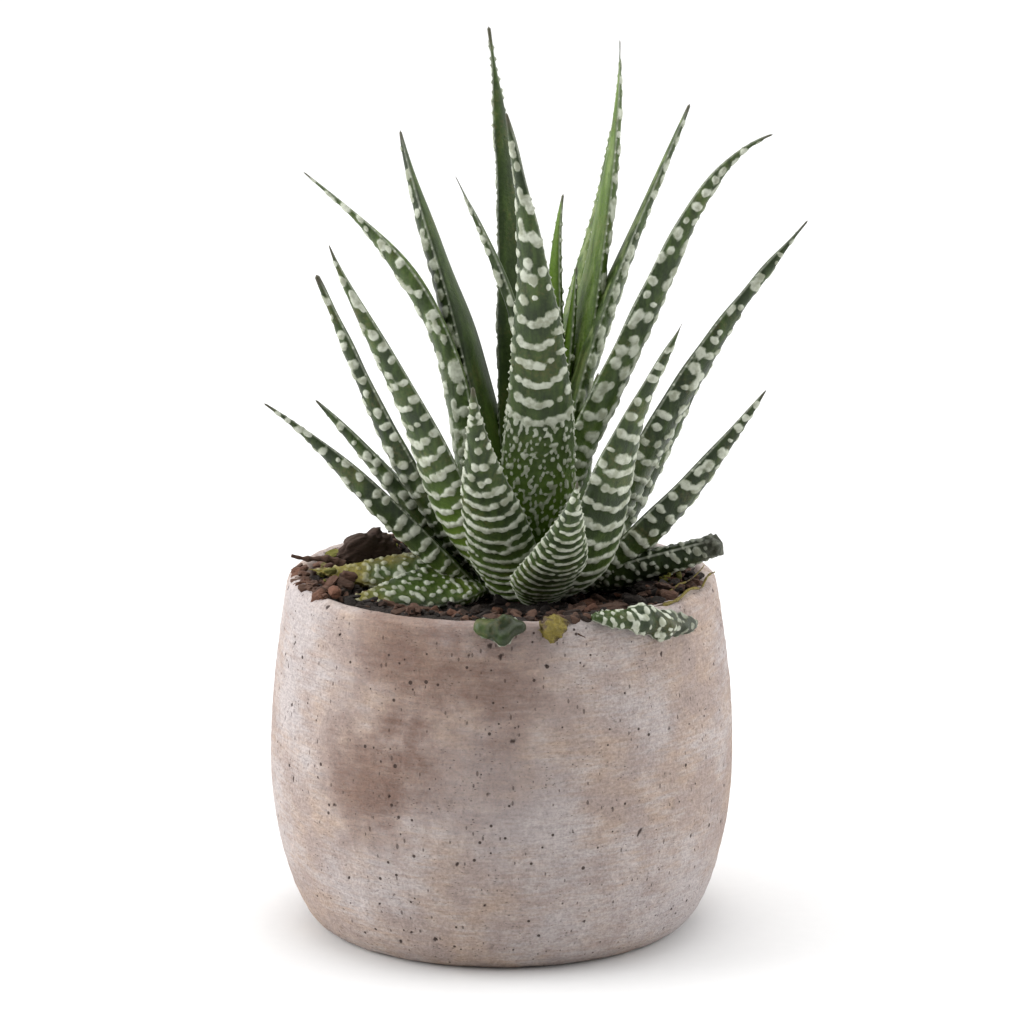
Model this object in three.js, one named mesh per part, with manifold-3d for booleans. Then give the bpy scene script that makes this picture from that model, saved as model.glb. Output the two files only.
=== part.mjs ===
// A potted haworthia: a zebra-striped rosette of stiff pointed leaves, rooted in bark
// potting mix in a belly-shaped fired-clay pot. Millimetres, +Z up, with the origin at
// the middle of the pot's foot and the fullest striped leaf facing -Y.

import * as THREE from 'three';
import { mergeVertices } from 'three/addons/utils/BufferGeometryUtils.js';
import Module from 'manifold-3d';

const wasm = await Module();
wasm.setup();

// Pot
const POT_HEIGHT = 84;
const FOOT_RADIUS = 42.5;
const BELLY_RADIUS = 55;
const BELLY_HEIGHT = 38;
const NECK_RADIUS = 51;
const WALL = 6;
const FLOOR = 8;
const BELLY_FULLNESS = 1.8;
const POT_SIDES = 36;
const OUTER_STEPS = 9;
const INNER_STEPS = 6;
const CROWDING = 1.6;

// Soil
const SOIL_BELOW_RIM = 4.5;
const SOIL_LUMP = 0.9;
const SOIL_WAVE = 21;
const SOIL_RINGS = 5;
const SOIL_SIDES = POT_SIDES / 2;
const MERGE = 1e-4;

// Crown: the short stem that the leaves grow from, as a blunt cone above the soil
const CROWN_X = 6;
const CROWN_BASE_RADIUS = 12;
const CROWN_TIP_RADIUS = 1.5;
const CROWN_RISE = 18;
const STEM_DEPTH = 22;
const STEM_WAIST_RADIUS = 9;
const STEM_FOOT_RADIUS = 4;
const STEM_SIDES = 16;
const ROOT_COUNT = 6;
const ROOT_RADIUS = 1.6;
const ROOT_DEPTH = 13;
const ROOT_SPREAD = 26;
const ROOT_DROP = 26;

// Clearance between pieces that touch
const GAP = 0.3;

// Leaf form: how the width fills out above the base and draws in to the tip, how much of
// the thickness is the rounded underside, and over what share of the length a roll builds up
const BASE_NARROWING = 0.6;
const BASE_SHARE = 0.2;
const WIDTH_FULLNESS = 1.7;
const TIP_DRAW = 1.6;
const TIP_SIZE = 0.4;
const THINNING = 2.2;
const UNDERSIDE = 0.75;
const ROLL_SHARE = 0.45;
const BROKEN_BULGE = 1;
const LONG_LEAF = 80;
const LONG_LEAF_SECTIONS = 9;
const SHORT_LEAF_SECTIONS = 6;
const STEPS_PER_SECTION = 4;
const MARGIN_GROWTH = 1.5;
const UNDERSIDE_TURNS = [180, 135, 90, 45, 0];

const RIM_ROUND = WALL / 2;
const RIM_CENTRE = POT_HEIGHT - RIM_ROUND;
const SOIL_TOP = POT_HEIGHT - SOIL_BELOW_RIM;
const MOUTH_RADIUS = NECK_RADIUS - WALL;
const CROWN_TOP = SOIL_TOP + CROWN_RISE;

const CLAY = { color: 0xa89a90, roughness: 0.9 };
const EARTH = { color: 0x2c211a, roughness: 1 };
const BARK = { color: 0x4a3226, roughness: 0.95 };
const STEM = { color: 0x6e6a44, roughness: 0.8 };
const GREEN = { color: 0x3c4a2c, roughness: 0.5 };
const BRIGHT_GREEN = { color: 0x4f6128, roughness: 0.5 };
const DRIED = { color: 0x9c8a24, roughness: 0.7 };

const rosette = new THREE.Group();
rosette.name = 'potted_haworthia';

const degrees = THREE.MathUtils.degToRad;
const { smoothstep, lerp } = THREE.MathUtils;

/** One leaf of the table below. */
function leafOf(name, turn, lean, length, width, thick, seat, more = {}) {
  return { name, turn, lean, length, width, thick, seat, sway: 0, roll: 0, kept: 1, ...more };
}

// Leaves from the centre of the rosette outwards: name, turn, lean, length, width, thickness
// and seat. turn is the way the leaf points, round the crown from +X; lean is its angle from
// upright at the root, lower part, upper part and tip; seat is how far up the crown it leaves
// it, as a share of the crown's rise. sway turns the tip sideways; roll turns its flat face
// about its own length; kept is the share of the length that is left of a broken leaf.
const LEAVES = [
  leafOf('heart_leaf_right', 30, [15, 11, 7, 4], 62, 6, 3, 0.86),
  leafOf('heart_leaf_left', 50, [24, -3, -8, 14], 79, 8, 4, 0.86, { sway: -11 }),
  leafOf('tall_leaf_back', 110, [8, 4, 9, 24], 119, 9, 4, 0.81),
  leafOf('thin_leaf_left', 180, [-27, 8, 26, 26], 91, 6, 4, 0.69, { sway: -4 }),
  leafOf('tall_leaf_right', 32, [16, 7, 18, -3], 119, 11, 5, 0.69, { sway: -10 }),
  leafOf('tall_leaf_right_inner', 55, [12, 21, 24, 14], 101, 8, 5, 0.69, { sway: -4 }),
  leafOf('upper_leaf_left', 155, [8, 8, 32, 10], 102, 12, 7, 0.53, { sway: 9 }),
  leafOf('upper_leaf_right', 22, [3, 21, 28, 24], 110, 12, 5, 0.58, { roll: -10 }),
  leafOf('upper_leaf_back', 90, [35, 25, 20, 20], 84, 12, 5, 0.53),
  leafOf('arching_leaf_right', 345, [-2, 65, -24, 74], 120, 12, 6, 0.47, { sway: -18, roll: -15 }),
  leafOf('arching_leaf_left', 172, [24, -26, 58, 54], 106, 11, 6, 0.42, { sway: -13, roll: 25 }),
  leafOf('back_leaf_right', 64, [50, 40, 33, 30], 50, 13, 5, 0.36),
  leafOf('back_leaf_left', 112, [50, 40, 34, 30], 62, 13, 5, 0.36),
  leafOf('striped_leaf_left', 218, [42, 2, 48, 19], 95, 14, 6, 0.25, { sway: -18 }),
  leafOf('slim_leaf_left', 192, [44, 26, 20, 24], 84, 10, 5, 0.25, { roll: 5 }),
  leafOf('long_leaf_right', 350, [41, 12, 40, 39], 103, 13, 6, 0.25, { sway: 1, roll: -15 }),
  leafOf('long_leaf_right_under', 8, [63, 8, 35, 28], 63, 12, 5, 0.25, { sway: 13, roll: -10 }),
  leafOf('back_leaf_middle', 90, [60, 46, 40, 40], 75, 13, 5, 0.25),
  leafOf('great_striped_leaf', 280, [8, 24, 3, 14], 118, 17, 6, 0.19, { sway: -90 }),
  leafOf('broad_leaf_right', 305, [72, -19, 43, 25], 82, 16, 6, 0.14, { sway: 40 }),
  leafOf('short_leaf_left', 178, [46, 38, 38, 46], 58, 11, 5, 0.14, { roll: 20 }),
  leafOf('low_leaf_back_right', 38, [60, 50, 43, 40], 42, 13, 5, 0.14),
  leafOf('low_leaf_back_left', 142, [70, 57, 48, 45], 46, 13, 5, 0.14),
  leafOf('front_leaf_left', 250, [20, 46, 30, 7], 62, 17, 6, 0.06, { sway: 7 }),
  leafOf('front_leaf_right', 284, [47, 62, 47, 23], 52, 16, 6, 0.03, { sway: -3 }),
  leafOf('low_leaf_right', 340, [55, 42, 36, 35], 70, 12, 6, 0.06, { roll: -15 }),
  leafOf('low_leaf_left', 195, [54, 39, 40, 56], 70, 11, 5, 0.06, { roll: 20 }),
  leafOf('ground_leaf_back_right', 76, [78, 66, 57, 50], 54, 13, 5, 0.08),
  leafOf('ground_leaf_back_left', 104, [78, 66, 57, 50], 54, 13, 5, 0.08),
  leafOf('broken_leaf_right', 346, [84, 68, 66, 70], 52, 12, 7, 0.19, { roll: -15, kept: 0.72 }),
  leafOf('ground_leaf_right', 20, [84, 78, 74, 70], 30, 12, 5, 0.06),
  leafOf('ground_leaf_left', 160, [84, 80, 76, 72], 30, 12, 5, 0.06),
  leafOf('dry_tipped_leaf_left', 188, [80, 89, 88, 76], 41, 17, 6, 0.12, { roll: -30 }),
  leafOf('dry_tipped_leaf_front_left', 206, [82, 92, 93, 88], 37, 15, 6, 0.08, { roll: -28 }),
];
const BRIGHT_LEAVES = ['heart_leaf_left', 'heart_leaf_right', 'tall_leaf_right', 'tall_leaf_right_inner'];

// Pieces that have fallen on the rim's shoulder: start and end round the pot, the height
// of their middles above the neck line, and their section
const RIM_PIECES = [
  { name: 'fallen_striped_leaf', from: -66, to: -31, rise: [3.4, -2.6], width: 7, thick: 4.6, finish: GREEN },
  { name: 'fallen_leaf_piece', from: -98, to: -83, rise: [1.6, 1.9], width: 8, thick: 3, finish: GREEN },
  { name: 'yellow_leaf_piece', from: -81, to: -72, rise: [1.4, 2.4], width: 7.5, thick: 3, finish: DRIED },
];
const RIM_PIECE_STEPS = 5;
const RIM_PIECE_END = 0.5;
const RIM_PIECE_TIP = 1.5;

/** One loose bit of the table below. */
function bitOf(name, heading, reach, height, half, turn, tilt, finish) {
  return { name, heading, reach, height, half, turn, tilt, finish };
}

// Loose bark and dry bits on the soil: name, the way round the pot, how far out as a share
// of the pot's mouth, height above the soil, half sizes, turn and tilt
const BITS = [
  bitOf('bark_chip_large', 174, 0.7, 5.5, [8.5, 3.8, 8.5], 14, -26, BARK),
  bitOf('bark_chip_left', 189, 0.85, 2, [4.5, 4, 2.2], 40, 8, BARK),
  bitOf('bark_chip_back', 110, 0.78, 2, [6, 4, 2.5], -30, 10, BARK),
  bitOf('bark_chip_back_left', 139, 0.82, 2, [5, 3.5, 2.4], 70, -12, BARK),
  bitOf('bark_chip_back_right', 47, 0.85, 2, [6, 3.5, 2.4], 15, 12, BARK),
  bitOf('bark_chip_right', 340, 0.83, 2, [5, 3.5, 2.6], -25, 10, BARK),
  bitOf('bark_chip_front', 308, 0.87, 2, [6, 3, 2.2], 35, -6, BARK),
  bitOf('yellow_leaf_piece_right', 3, 0.88, 3.2, [3.4, 2.6, 2.2], 10, 12, DRIED),
];
const CHIP_SIZE = 0.86;
const CHIP_ROUGHNESS = 0.16;
const CHIP_WAVES = 2.4;

/** A copy of a geometry with only its positions, and its shared corners joined. */
function joinedCorners(geometry) {
  const plain = geometry.clone();
  plain.deleteAttribute('normal');
  plain.deleteAttribute('uv');
  return mergeVertices(plain, MERGE);
}

/** Turns a closed geometry into a solid that can be cut and joined. */
function solidOf(geometry) {
  const merged = joinedCorners(geometry);
  const vertProperties = Float32Array.from(merged.attributes.position.array);
  const triVerts = Uint32Array.from(merged.index.array);
  return new wasm.Manifold(new wasm.Mesh({ numProp: 3, vertProperties, triVerts }));
}

/** The largest of the bodies that a cut leaves behind. */
function largestBody(solid) {
  const bodies = solid.decompose();
  bodies.sort((a, b) => b.volume() - a.volume());
  return bodies[0];
}

/** Adds a solid to the model as a named mesh with its own material. */
function addPiece(name, solid, finish) {
  const { vertProperties, triVerts } = solid.getMesh();
  const geometry = new THREE.BufferGeometry();
  geometry.setAttribute('position', new THREE.BufferAttribute(vertProperties, 3));
  geometry.setIndex(new THREE.BufferAttribute(triVerts, 1));
  geometry.computeVertexNormals();
  const material = new THREE.MeshStandardMaterial({ metalness: 0, ...finish });
  const mesh = new THREE.Mesh(geometry, material);
  mesh.name = name;
  rosette.add(mesh);
}

/** Closes a row of equal rings, and an end point, into one skin facing outwards. */
function skinOf(rings, endPoint) {
  const sides = rings[0].length;
  const points = [...rings.flat(), endPoint];
  const faces = [];
  for (let side = 1; side < sides - 1; side += 1) {
    faces.push(0, side + 1, side);
  }
  for (let ring = 0; ring < rings.length - 1; ring += 1) {
    for (let side = 0; side < sides; side += 1) {
      const a = ring * sides + side;
      const b = ring * sides + (side + 1) % sides;
      faces.push(a, b, b + sides, a, b + sides, a + sides);
    }
  }
  const last = (rings.length - 1) * sides;
  for (let side = 0; side < sides; side += 1) {
    faces.push(last + side, last + (side + 1) % sides, points.length - 1);
  }
  const geometry = new THREE.BufferGeometry().setFromPoints(points);
  geometry.setIndex(faces);
  return geometry;
}

/** Radius of the pot's outer side at height z, or of a surface set in from it. */
function potRadius(z, inset, floor) {
  if (z <= BELLY_HEIGHT) {
    const rise = THREE.MathUtils.clamp((z - floor) / (BELLY_HEIGHT - floor), 0, 1);
    const swell = (1 - (1 - rise) ** BELLY_FULLNESS) ** (1 / BELLY_FULLNESS);
    return lerp(FOOT_RADIUS, BELLY_RADIUS, swell) - inset;
  }
  const climb = (z - BELLY_HEIGHT) / (RIM_CENTRE - BELLY_HEIGHT);
  return lerp(BELLY_RADIUS, NECK_RADIUS, 1 - Math.cos(climb * Math.PI / 2)) - inset;
}

/** Heights that follow the pot's curve, closer together near the foot. */
function sideHeights(from, to, count) {
  return Array.from({ length: count + 1 }, (_, step) => lerp(from, to, (step / count) ** CROWDING));
}

/** The pot, made larger all over by grow. */
function potGeometry(grow) {
  const outer = sideHeights(0, RIM_CENTRE, OUTER_STEPS)
    .map((z) => new THREE.Vector2(potRadius(z, 0, 0) + grow, z));
  const rim = [0.25, 0.5, 0.75].map((share) => {
    const angle = share * Math.PI;
    const reach = RIM_ROUND + grow;
    return new THREE.Vector2(
      NECK_RADIUS - RIM_ROUND + reach * Math.cos(angle),
      RIM_CENTRE + reach * Math.sin(angle),
    );
  });
  const inner = sideHeights(FLOOR, RIM_CENTRE, INNER_STEPS)
    .map((z) => new THREE.Vector2(potRadius(z, WALL, FLOOR) - grow, z))
    .reverse();
  const profile = [
    new THREE.Vector2(0, -grow),
    new THREE.Vector2(FOOT_RADIUS + grow, -grow),
    ...outer.slice(1),
    ...rim,
    ...inner,
    new THREE.Vector2(0, FLOOR),
  ];
  return latheUpright(profile, POT_SIDES);
}

/** A lathe turned about +Z. */
function latheUpright(profile, sides) {
  const points = profile.map((point) => new THREE.Vector2(point.x, point.y));
  points[0].x = 0;
  points[points.length - 1].x = 0;
  return new THREE.LatheGeometry(points, sides).rotateX(Math.PI / 2);
}

/** The soil that fills the pot, with a gently lumpy top. */
function soilGeometry() {
  const side = sideHeights(FLOOR + GAP, SOIL_TOP, INNER_STEPS)
    .map((z) => new THREE.Vector2(potRadius(z, WALL + GAP, FLOOR + GAP), z));
  const edge = side[side.length - 1].x;
  const top = [];
  for (let ring = 1; ring < SOIL_RINGS; ring += 1) {
    top.push(new THREE.Vector2(edge * (1 - ring / SOIL_RINGS), SOIL_TOP));
  }
  const profile = [
    new THREE.Vector2(0, FLOOR + GAP),
    ...side,
    ...top,
    new THREE.Vector2(0, SOIL_TOP),
  ];
  const geometry = latheUpright(profile, SOIL_SIDES);
  const position = geometry.attributes.position;
  for (let index = 0; index < position.count; index += 1) {
    const x = position.getX(index);
    const y = position.getY(index);
    const inside = 1 - Math.hypot(x, y) / edge;
    if (position.getZ(index) > SOIL_TOP - 1e-3 && inside > 1e-3) {
      const turnX = x * 2 * Math.PI / SOIL_WAVE;
      const turnY = y * 2 * Math.PI / SOIL_WAVE;
      const lump = Math.sin(turnX + 1) * Math.cos(turnY) + Math.sin(turnX / 2 - turnY / 2);
      position.setZ(index, SOIL_TOP + lump * SOIL_LUMP * Math.min(1, inside * SOIL_RINGS));
    }
  }
  return geometry;
}

/** Radius of the crown at a height above the soil. */
function crownRadius(height) {
  return lerp(CROWN_BASE_RADIUS, CROWN_TIP_RADIUS, height / CROWN_RISE);
}

/** The short stem and its roots, made larger all over by grow. */
function stemSolid(grow) {
  const profile = [
    new THREE.Vector2(0, SOIL_TOP - STEM_DEPTH - grow),
    new THREE.Vector2(STEM_FOOT_RADIUS + grow, SOIL_TOP - STEM_DEPTH),
    new THREE.Vector2(STEM_WAIST_RADIUS + grow, SOIL_TOP - STEM_DEPTH / 2),
    new THREE.Vector2(CROWN_BASE_RADIUS + grow, SOIL_TOP),
    new THREE.Vector2(CROWN_TIP_RADIUS + grow, CROWN_TOP),
    new THREE.Vector2(0, CROWN_TOP + grow),
  ];
  let solid = solidOf(latheUpright(profile, STEM_SIDES).translate(CROWN_X, 0, 0));
  for (let root = 0; root < ROOT_COUNT; root += 1) {
    solid = solid.add(solidOf(rootGeometry(root, ROOT_RADIUS + grow)));
  }
  return solid;
}

/** One root: a round tube that leaves the stem and bends down into the soil. */
function rootGeometry(root, radius) {
  const heading = (root + 0.5) * 2 * Math.PI / ROOT_COUNT;
  const top = SOIL_TOP - ROOT_DEPTH;
  const along = (reach, drop) => new THREE.Vector3(
    CROWN_X + reach * Math.cos(heading),
    reach * Math.sin(heading),
    top - drop,
  );
  const path = new THREE.QuadraticBezierCurve3(
    along(0, 0),
    along(ROOT_SPREAD, 0),
    along(ROOT_SPREAD, ROOT_DROP),
  );
  const section = new THREE.Shape().absarc(0, 0, radius, 0, 2 * Math.PI);
  return new THREE.ExtrudeGeometry(section, { extrudePath: path, steps: 6, curveSegments: 3 });
}

/** A point on the cubic curve through four control values. */
function cubic([a, b, c, d], share) {
  const rest = 1 - share;
  return a * rest ** 3 + 3 * b * rest ** 2 * share + 3 * c * rest * share ** 2 + d * share ** 3;
}

/** Centres and axes of a leaf's sections, from its root to its tip. */
function leafStations({ turn, lean, sway, length, seat, roll }, count) {
  const height = seat * CROWN_RISE;
  const start = crownRadius(height) + GAP;
  const heading = degrees(turn);
  const centre = new THREE.Vector3(
    CROWN_X + start * Math.cos(heading),
    start * Math.sin(heading),
    SOIL_TOP + height,
  );
  const stations = [];
  const steps = count * STEPS_PER_SECTION;
  for (let step = 0; step <= steps; step += 1) {
    const share = step / steps;
    const angle = degrees(cubic(lean, share));
    const azimuth = degrees(turn + sway * share ** 2);
    const outward = new THREE.Vector3(Math.cos(azimuth), Math.sin(azimuth), 0);
    const along = outward.clone().multiplyScalar(Math.sin(angle));
    along.z = Math.cos(angle);
    if (step % STEPS_PER_SECTION === 0) {
      const twist = degrees(roll) * smoothstep(share, 0, ROLL_SHARE);
      const across = new THREE.Vector3(-Math.sin(azimuth), Math.cos(azimuth), 0)
        .applyAxisAngle(along, twist);
      const under = new THREE.Vector3().crossVectors(across, along);
      stations.push({ share, centre: centre.clone(), along, across, under });
    }
    centre.addScaledVector(along, length / steps);
  }
  return stations;
}

/** A leaf's section: a flat inner side and a full, rounded underside. */
function sectionRing({ centre, across, under }, width, thick, grow) {
  const ring = [];
  const halfWidth = width / 2 + grow * MARGIN_GROWTH;
  for (const angle of UNDERSIDE_TURNS) {
    const side = Math.cos(degrees(angle)) * halfWidth;
    const depth = Math.sin(degrees(angle)) * (thick * UNDERSIDE + grow) - thick * (1 - UNDERSIDE);
    ring.push(centre.clone().addScaledVector(across, side).addScaledVector(under, depth));
  }
  ring.push(centre.clone().addScaledVector(under, -thick * 2 * (1 - UNDERSIDE) - grow));
  return ring;
}

/** A leaf, made larger all over by grow. */
function leafGeometry(leaf, grow) {
  const count = leaf.length > LONG_LEAF ? LONG_LEAF_SECTIONS : SHORT_LEAF_SECTIONS;
  const stations = leafStations(leaf, count);
  const present = stations.filter(({ share }) => share < Math.min(leaf.kept, 1 - MERGE));
  const rings = present.map((station) => {
    const { share } = station;
    const base = lerp(BASE_NARROWING, 1, smoothstep(share, 0, BASE_SHARE));
    const taper = (1 - share) * (1 + WIDTH_FULLNESS * share - TIP_DRAW * share ** 2);
    const width = leaf.width * base * taper + TIP_SIZE;
    const thick = leaf.thick * base * (1 - share ** THINNING) + TIP_SIZE;
    return sectionRing(station, width, thick, grow);
  });
  const tip = stations[stations.length - 1].centre;
  const last = present[present.length - 1];
  const stub = last.centre.clone().addScaledVector(last.along, BROKEN_BULGE + grow);
  return skinOf(rings, leaf.kept < 1 ? stub : tip);
}

/** A piece that lies along the rim's shoulder, before the pot's own shape is cut away. */
function rimPieceGeometry({ from, to, rise, width, thick }) {
  const rings = [];
  let end;
  for (let step = 0; step <= RIM_PIECE_STEPS; step += 1) {
    const share = step / RIM_PIECE_STEPS;
    const azimuth = degrees(lerp(from, to, share));
    const height = lerp(rise[0], rise[1], share);
    const slope = Math.atan2(Math.max(height, 0), RIM_ROUND);
    const outward = new THREE.Vector3(
      Math.cos(azimuth) * Math.cos(slope),
      Math.sin(azimuth) * Math.cos(slope),
      Math.sin(slope),
    );
    const across = new THREE.Vector3(
      Math.cos(azimuth) * Math.sin(slope),
      Math.sin(azimuth) * Math.sin(slope),
      -Math.cos(slope),
    );
    const centre = new THREE.Vector3(
      (NECK_RADIUS - RIM_ROUND) * Math.cos(azimuth),
      (NECK_RADIUS - RIM_ROUND) * Math.sin(azimuth),
      RIM_CENTRE + Math.min(height, 0),
    ).addScaledVector(outward, RIM_ROUND + thick / 2);
    const fullness = lerp(RIM_PIECE_END, 1, Math.sin(Math.PI * share));
    const station = { centre, across, under: outward };
    rings.push(sectionRing(station, width * fullness, thick * fullness, 0));
    end = centre.clone();
  }
  const tangent = new THREE.Vector3(-Math.sin(degrees(to)), Math.cos(degrees(to)), 0);
  return skinOf(rings, end.addScaledVector(tangent, RIM_PIECE_TIP));
}

/** A rough chip: a low ball with its corners pushed about. */
function chipGeometry({ heading, reach, height, half, turn, tilt }) {
  const geometry = joinedCorners(new THREE.IcosahedronGeometry(1, 1));
  const position = geometry.attributes.position;
  for (let index = 0; index < position.count; index += 1) {
    const push = CHIP_SIZE + CHIP_ROUGHNESS * Math.sin(index * CHIP_WAVES + turn);
    position.setXYZ(
      index,
      position.getX(index) * push * half[0],
      position.getY(index) * push * half[1],
      position.getZ(index) * push * half[2],
    );
  }
  geometry.rotateY(degrees(tilt));
  geometry.rotateZ(degrees(turn));
  geometry.translate(
    reach * MOUTH_RADIUS * Math.cos(degrees(heading)),
    reach * MOUTH_RADIUS * Math.sin(degrees(heading)),
    SOIL_TOP + height,
  );
  return geometry;
}

// Everything that is already placed, made larger by the clearance, to cut the next piece
const placed = [];
const clearOf = (solid) => largestBody(solid.subtract(wasm.Manifold.union(placed)));

addPiece('pot', solidOf(potGeometry(0)), CLAY);
placed.push(solidOf(potGeometry(GAP)));

addPiece('stem_and_roots', stemSolid(0), STEM);
placed.push(stemSolid(GAP));

for (const leaf of LEAVES) {
  const solid = clearOf(solidOf(leafGeometry(leaf, 0)));
  addPiece(leaf.name, solid, BRIGHT_LEAVES.includes(leaf.name) ? BRIGHT_GREEN : GREEN);
  placed.push(solidOf(leafGeometry(leaf, GAP)));
}

for (const piece of RIM_PIECES) {
  const raw = solidOf(rimPieceGeometry(piece));
  addPiece(piece.name, clearOf(raw), piece.finish);
  placed.push(raw);
}

for (const bit of BITS) {
  addPiece(bit.name, clearOf(solidOf(chipGeometry(bit))), bit.finish);
  placed.push(solidOf(chipGeometry({ ...bit, half: bit.half.map((size) => size + GAP / CHIP_SIZE) })));
}

addPiece('potting_soil', clearOf(solidOf(soilGeometry())), EARTH);

export default rosette;
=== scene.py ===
"""A potted haworthia: striped leaves with raised tubercles, bark potting mix and a fired-clay pot.

The leaves' places repeat the frame's own values, in millimetres; Blender's objects are in metres.
"""

import math
from typing import NamedTuple

import bmesh
import bpy
import numpy as np
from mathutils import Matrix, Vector


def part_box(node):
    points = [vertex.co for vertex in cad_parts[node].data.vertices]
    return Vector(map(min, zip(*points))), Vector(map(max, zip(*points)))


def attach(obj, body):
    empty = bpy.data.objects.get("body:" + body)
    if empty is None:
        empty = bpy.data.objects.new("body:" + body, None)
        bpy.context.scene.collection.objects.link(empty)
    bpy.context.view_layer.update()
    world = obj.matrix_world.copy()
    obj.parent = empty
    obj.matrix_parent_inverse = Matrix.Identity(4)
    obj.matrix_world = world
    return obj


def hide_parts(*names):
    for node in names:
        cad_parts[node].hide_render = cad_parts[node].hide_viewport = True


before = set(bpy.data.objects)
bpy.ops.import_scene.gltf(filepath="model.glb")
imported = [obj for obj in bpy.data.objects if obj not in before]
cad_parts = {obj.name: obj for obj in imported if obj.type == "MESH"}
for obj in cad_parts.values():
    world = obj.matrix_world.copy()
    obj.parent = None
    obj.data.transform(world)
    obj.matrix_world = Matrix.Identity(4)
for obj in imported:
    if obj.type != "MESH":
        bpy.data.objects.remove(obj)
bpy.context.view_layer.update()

bl_info = {
    "name": "Potted Haworthia",
    "version": (1, 0, 0),
    "blender": (4, 5, 0),
    "location": "3D View > Sidebar > Haworthia",
    "description": "Builds a striped haworthia in a fired-clay pot round its packed frame",
    "category": "Add Mesh",
}

POT_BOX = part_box("pot")
SOIL_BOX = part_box("potting_soil")

MM = 0.001
BODY = "root"

# The crown that the leaves grow from, as in the frame
CROWN_X = 6
CROWN_BASE_RADIUS = 12
CROWN_TIP_RADIUS = 1.5
CROWN_RISE = 18
SOIL_TOP = 79.5
GAP = 0.3

# Leaf form, as in the frame
BASE_NARROWING = 0.6
BASE_SHARE = 0.2
WIDTH_FULLNESS = 1.7
TIP_DRAW = 1.6
TIP_SIZE = 0.4
THICKNESS_DRAW = 2.2
UNDERSIDE_DEPTH = 0.75
INNER_DEPTH = 0.25
ROLLED_BY = 0.45
LONG_LEAF = 80
LONG_LEAF_STEPS = 36
SHORT_LEAF_STEPS = 24

# Leaf skin: how sharply near tubercles join, the width of the pale margin, how much of a
# tooth the points beside its own take up, and the tint of the pieces on the rim
MERGING = 3.2
MARGIN_WIDTH = 0.7
TOOTH_FLANK = 0.45
FALLEN_TINT = (0, 0.1, 0.5, 0)

MOUTH_RADIUS = 45

# How many waves make a random field, and what brings their sum to about -1 to 1
WAVE_COUNT = 7
WAVE_REACH = 1.3

# Where the random draws of each kind of piece begin
PIT_SEED = 11
CRUMB_SEED = 31
CHIP_SEEDS = {"bark": 40, "dried_leaf": 60}
LEAF_SEED = 100
FALLEN_SEED = 200
TINT_SEED = 500


def screen_colour(red, green, blue):
    """A linear colour from the 0 to 255 values that a paint chart gives."""
    shares = (value / 255 for value in (red, green, blue))
    return tuple(s / 12.92 if s <= 0.04045 else ((s + 0.055) / 1.055) ** 2.4 for s in shares)


def mix(low, high, share):
    """The value a share of the way from low to high."""
    return low + (high - low) * share


def smoothstep(value, low, high):
    """0 at low and 1 at high, with a smooth rise between and no change beyond."""
    share = np.clip((value - low) / (high - low), 0, 1)
    return share * share * (3 - 2 * share)


def unit(vectors):
    """The same vectors with length 1."""
    return vectors / np.maximum(np.linalg.norm(vectors, axis=-1, keepdims=True), 1e-12)


def all_round(sides):
    """Equal steps of heading right round, in radians."""
    return np.linspace(0, 2 * math.pi, sides, endpoint=False)


def placed(azimuth, reach, height):
    """Points at headings in radians, reaches from the upright axis and heights."""
    parts = np.broadcast_arrays(reach * np.cos(azimuth), reach * np.sin(azimuth), height)
    return np.stack(parts, axis=-1)


def waves(points, size, seed):
    """A smooth random field of about -1 to 1 at points, with features of about one size."""
    rng = np.random.default_rng(seed)
    ways = unit(rng.normal(size=(WAVE_COUNT, 3)))
    lengths = size * rng.uniform(0.7, 1.6, WAVE_COUNT)
    phases = rng.uniform(0, 2 * math.pi, WAVE_COUNT)
    total = np.zeros(points.shape[:-1])
    for way, length, phase in zip(ways, lengths, phases):
        total += np.sin(points @ way * (2 * math.pi / length) + phase)
    return total / math.sqrt(WAVE_COUNT) / WAVE_REACH


class Leaf(NamedTuple):
    """One leaf: turn round the crown from +X; lean from upright at its root, lower part, upper
    part and tip; seat, how far up the crown it leaves it as a share of its rise; sway of its
    tip; roll about its own length; the share kept of a broken one; its marking, whether that is
    on both sides, how light, warm and mossy it is, and its skin."""
    name: str
    turn: float
    lean: tuple
    length: float
    width: float
    thick: float
    seat: float
    sway: float = 0
    roll: float = 0
    kept: float = 1
    marking: str = "medium"
    both_sides: bool = False
    light: float = 0.3
    warm: float = 0.3
    mossy: float = 0
    skin: str = "striped_leaf"


class Marking(NamedTuple):
    """How a leaf's white tubercles lie. Shares are of the length from the root: bare below
    first, fine specks up to specks_to, joined bands up to bands_to and separate ovals up to last.
    Sizes are in millimetres: from row to row, a band's thickness, from tubercle to tubercle
    across a band and in the rows of ovals, and how far a band bows towards the tip."""
    first: float
    specks_to: float
    bands_to: float
    last: float
    pitch: float
    band: float
    crowding: float
    spread: float
    bow: float


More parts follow.
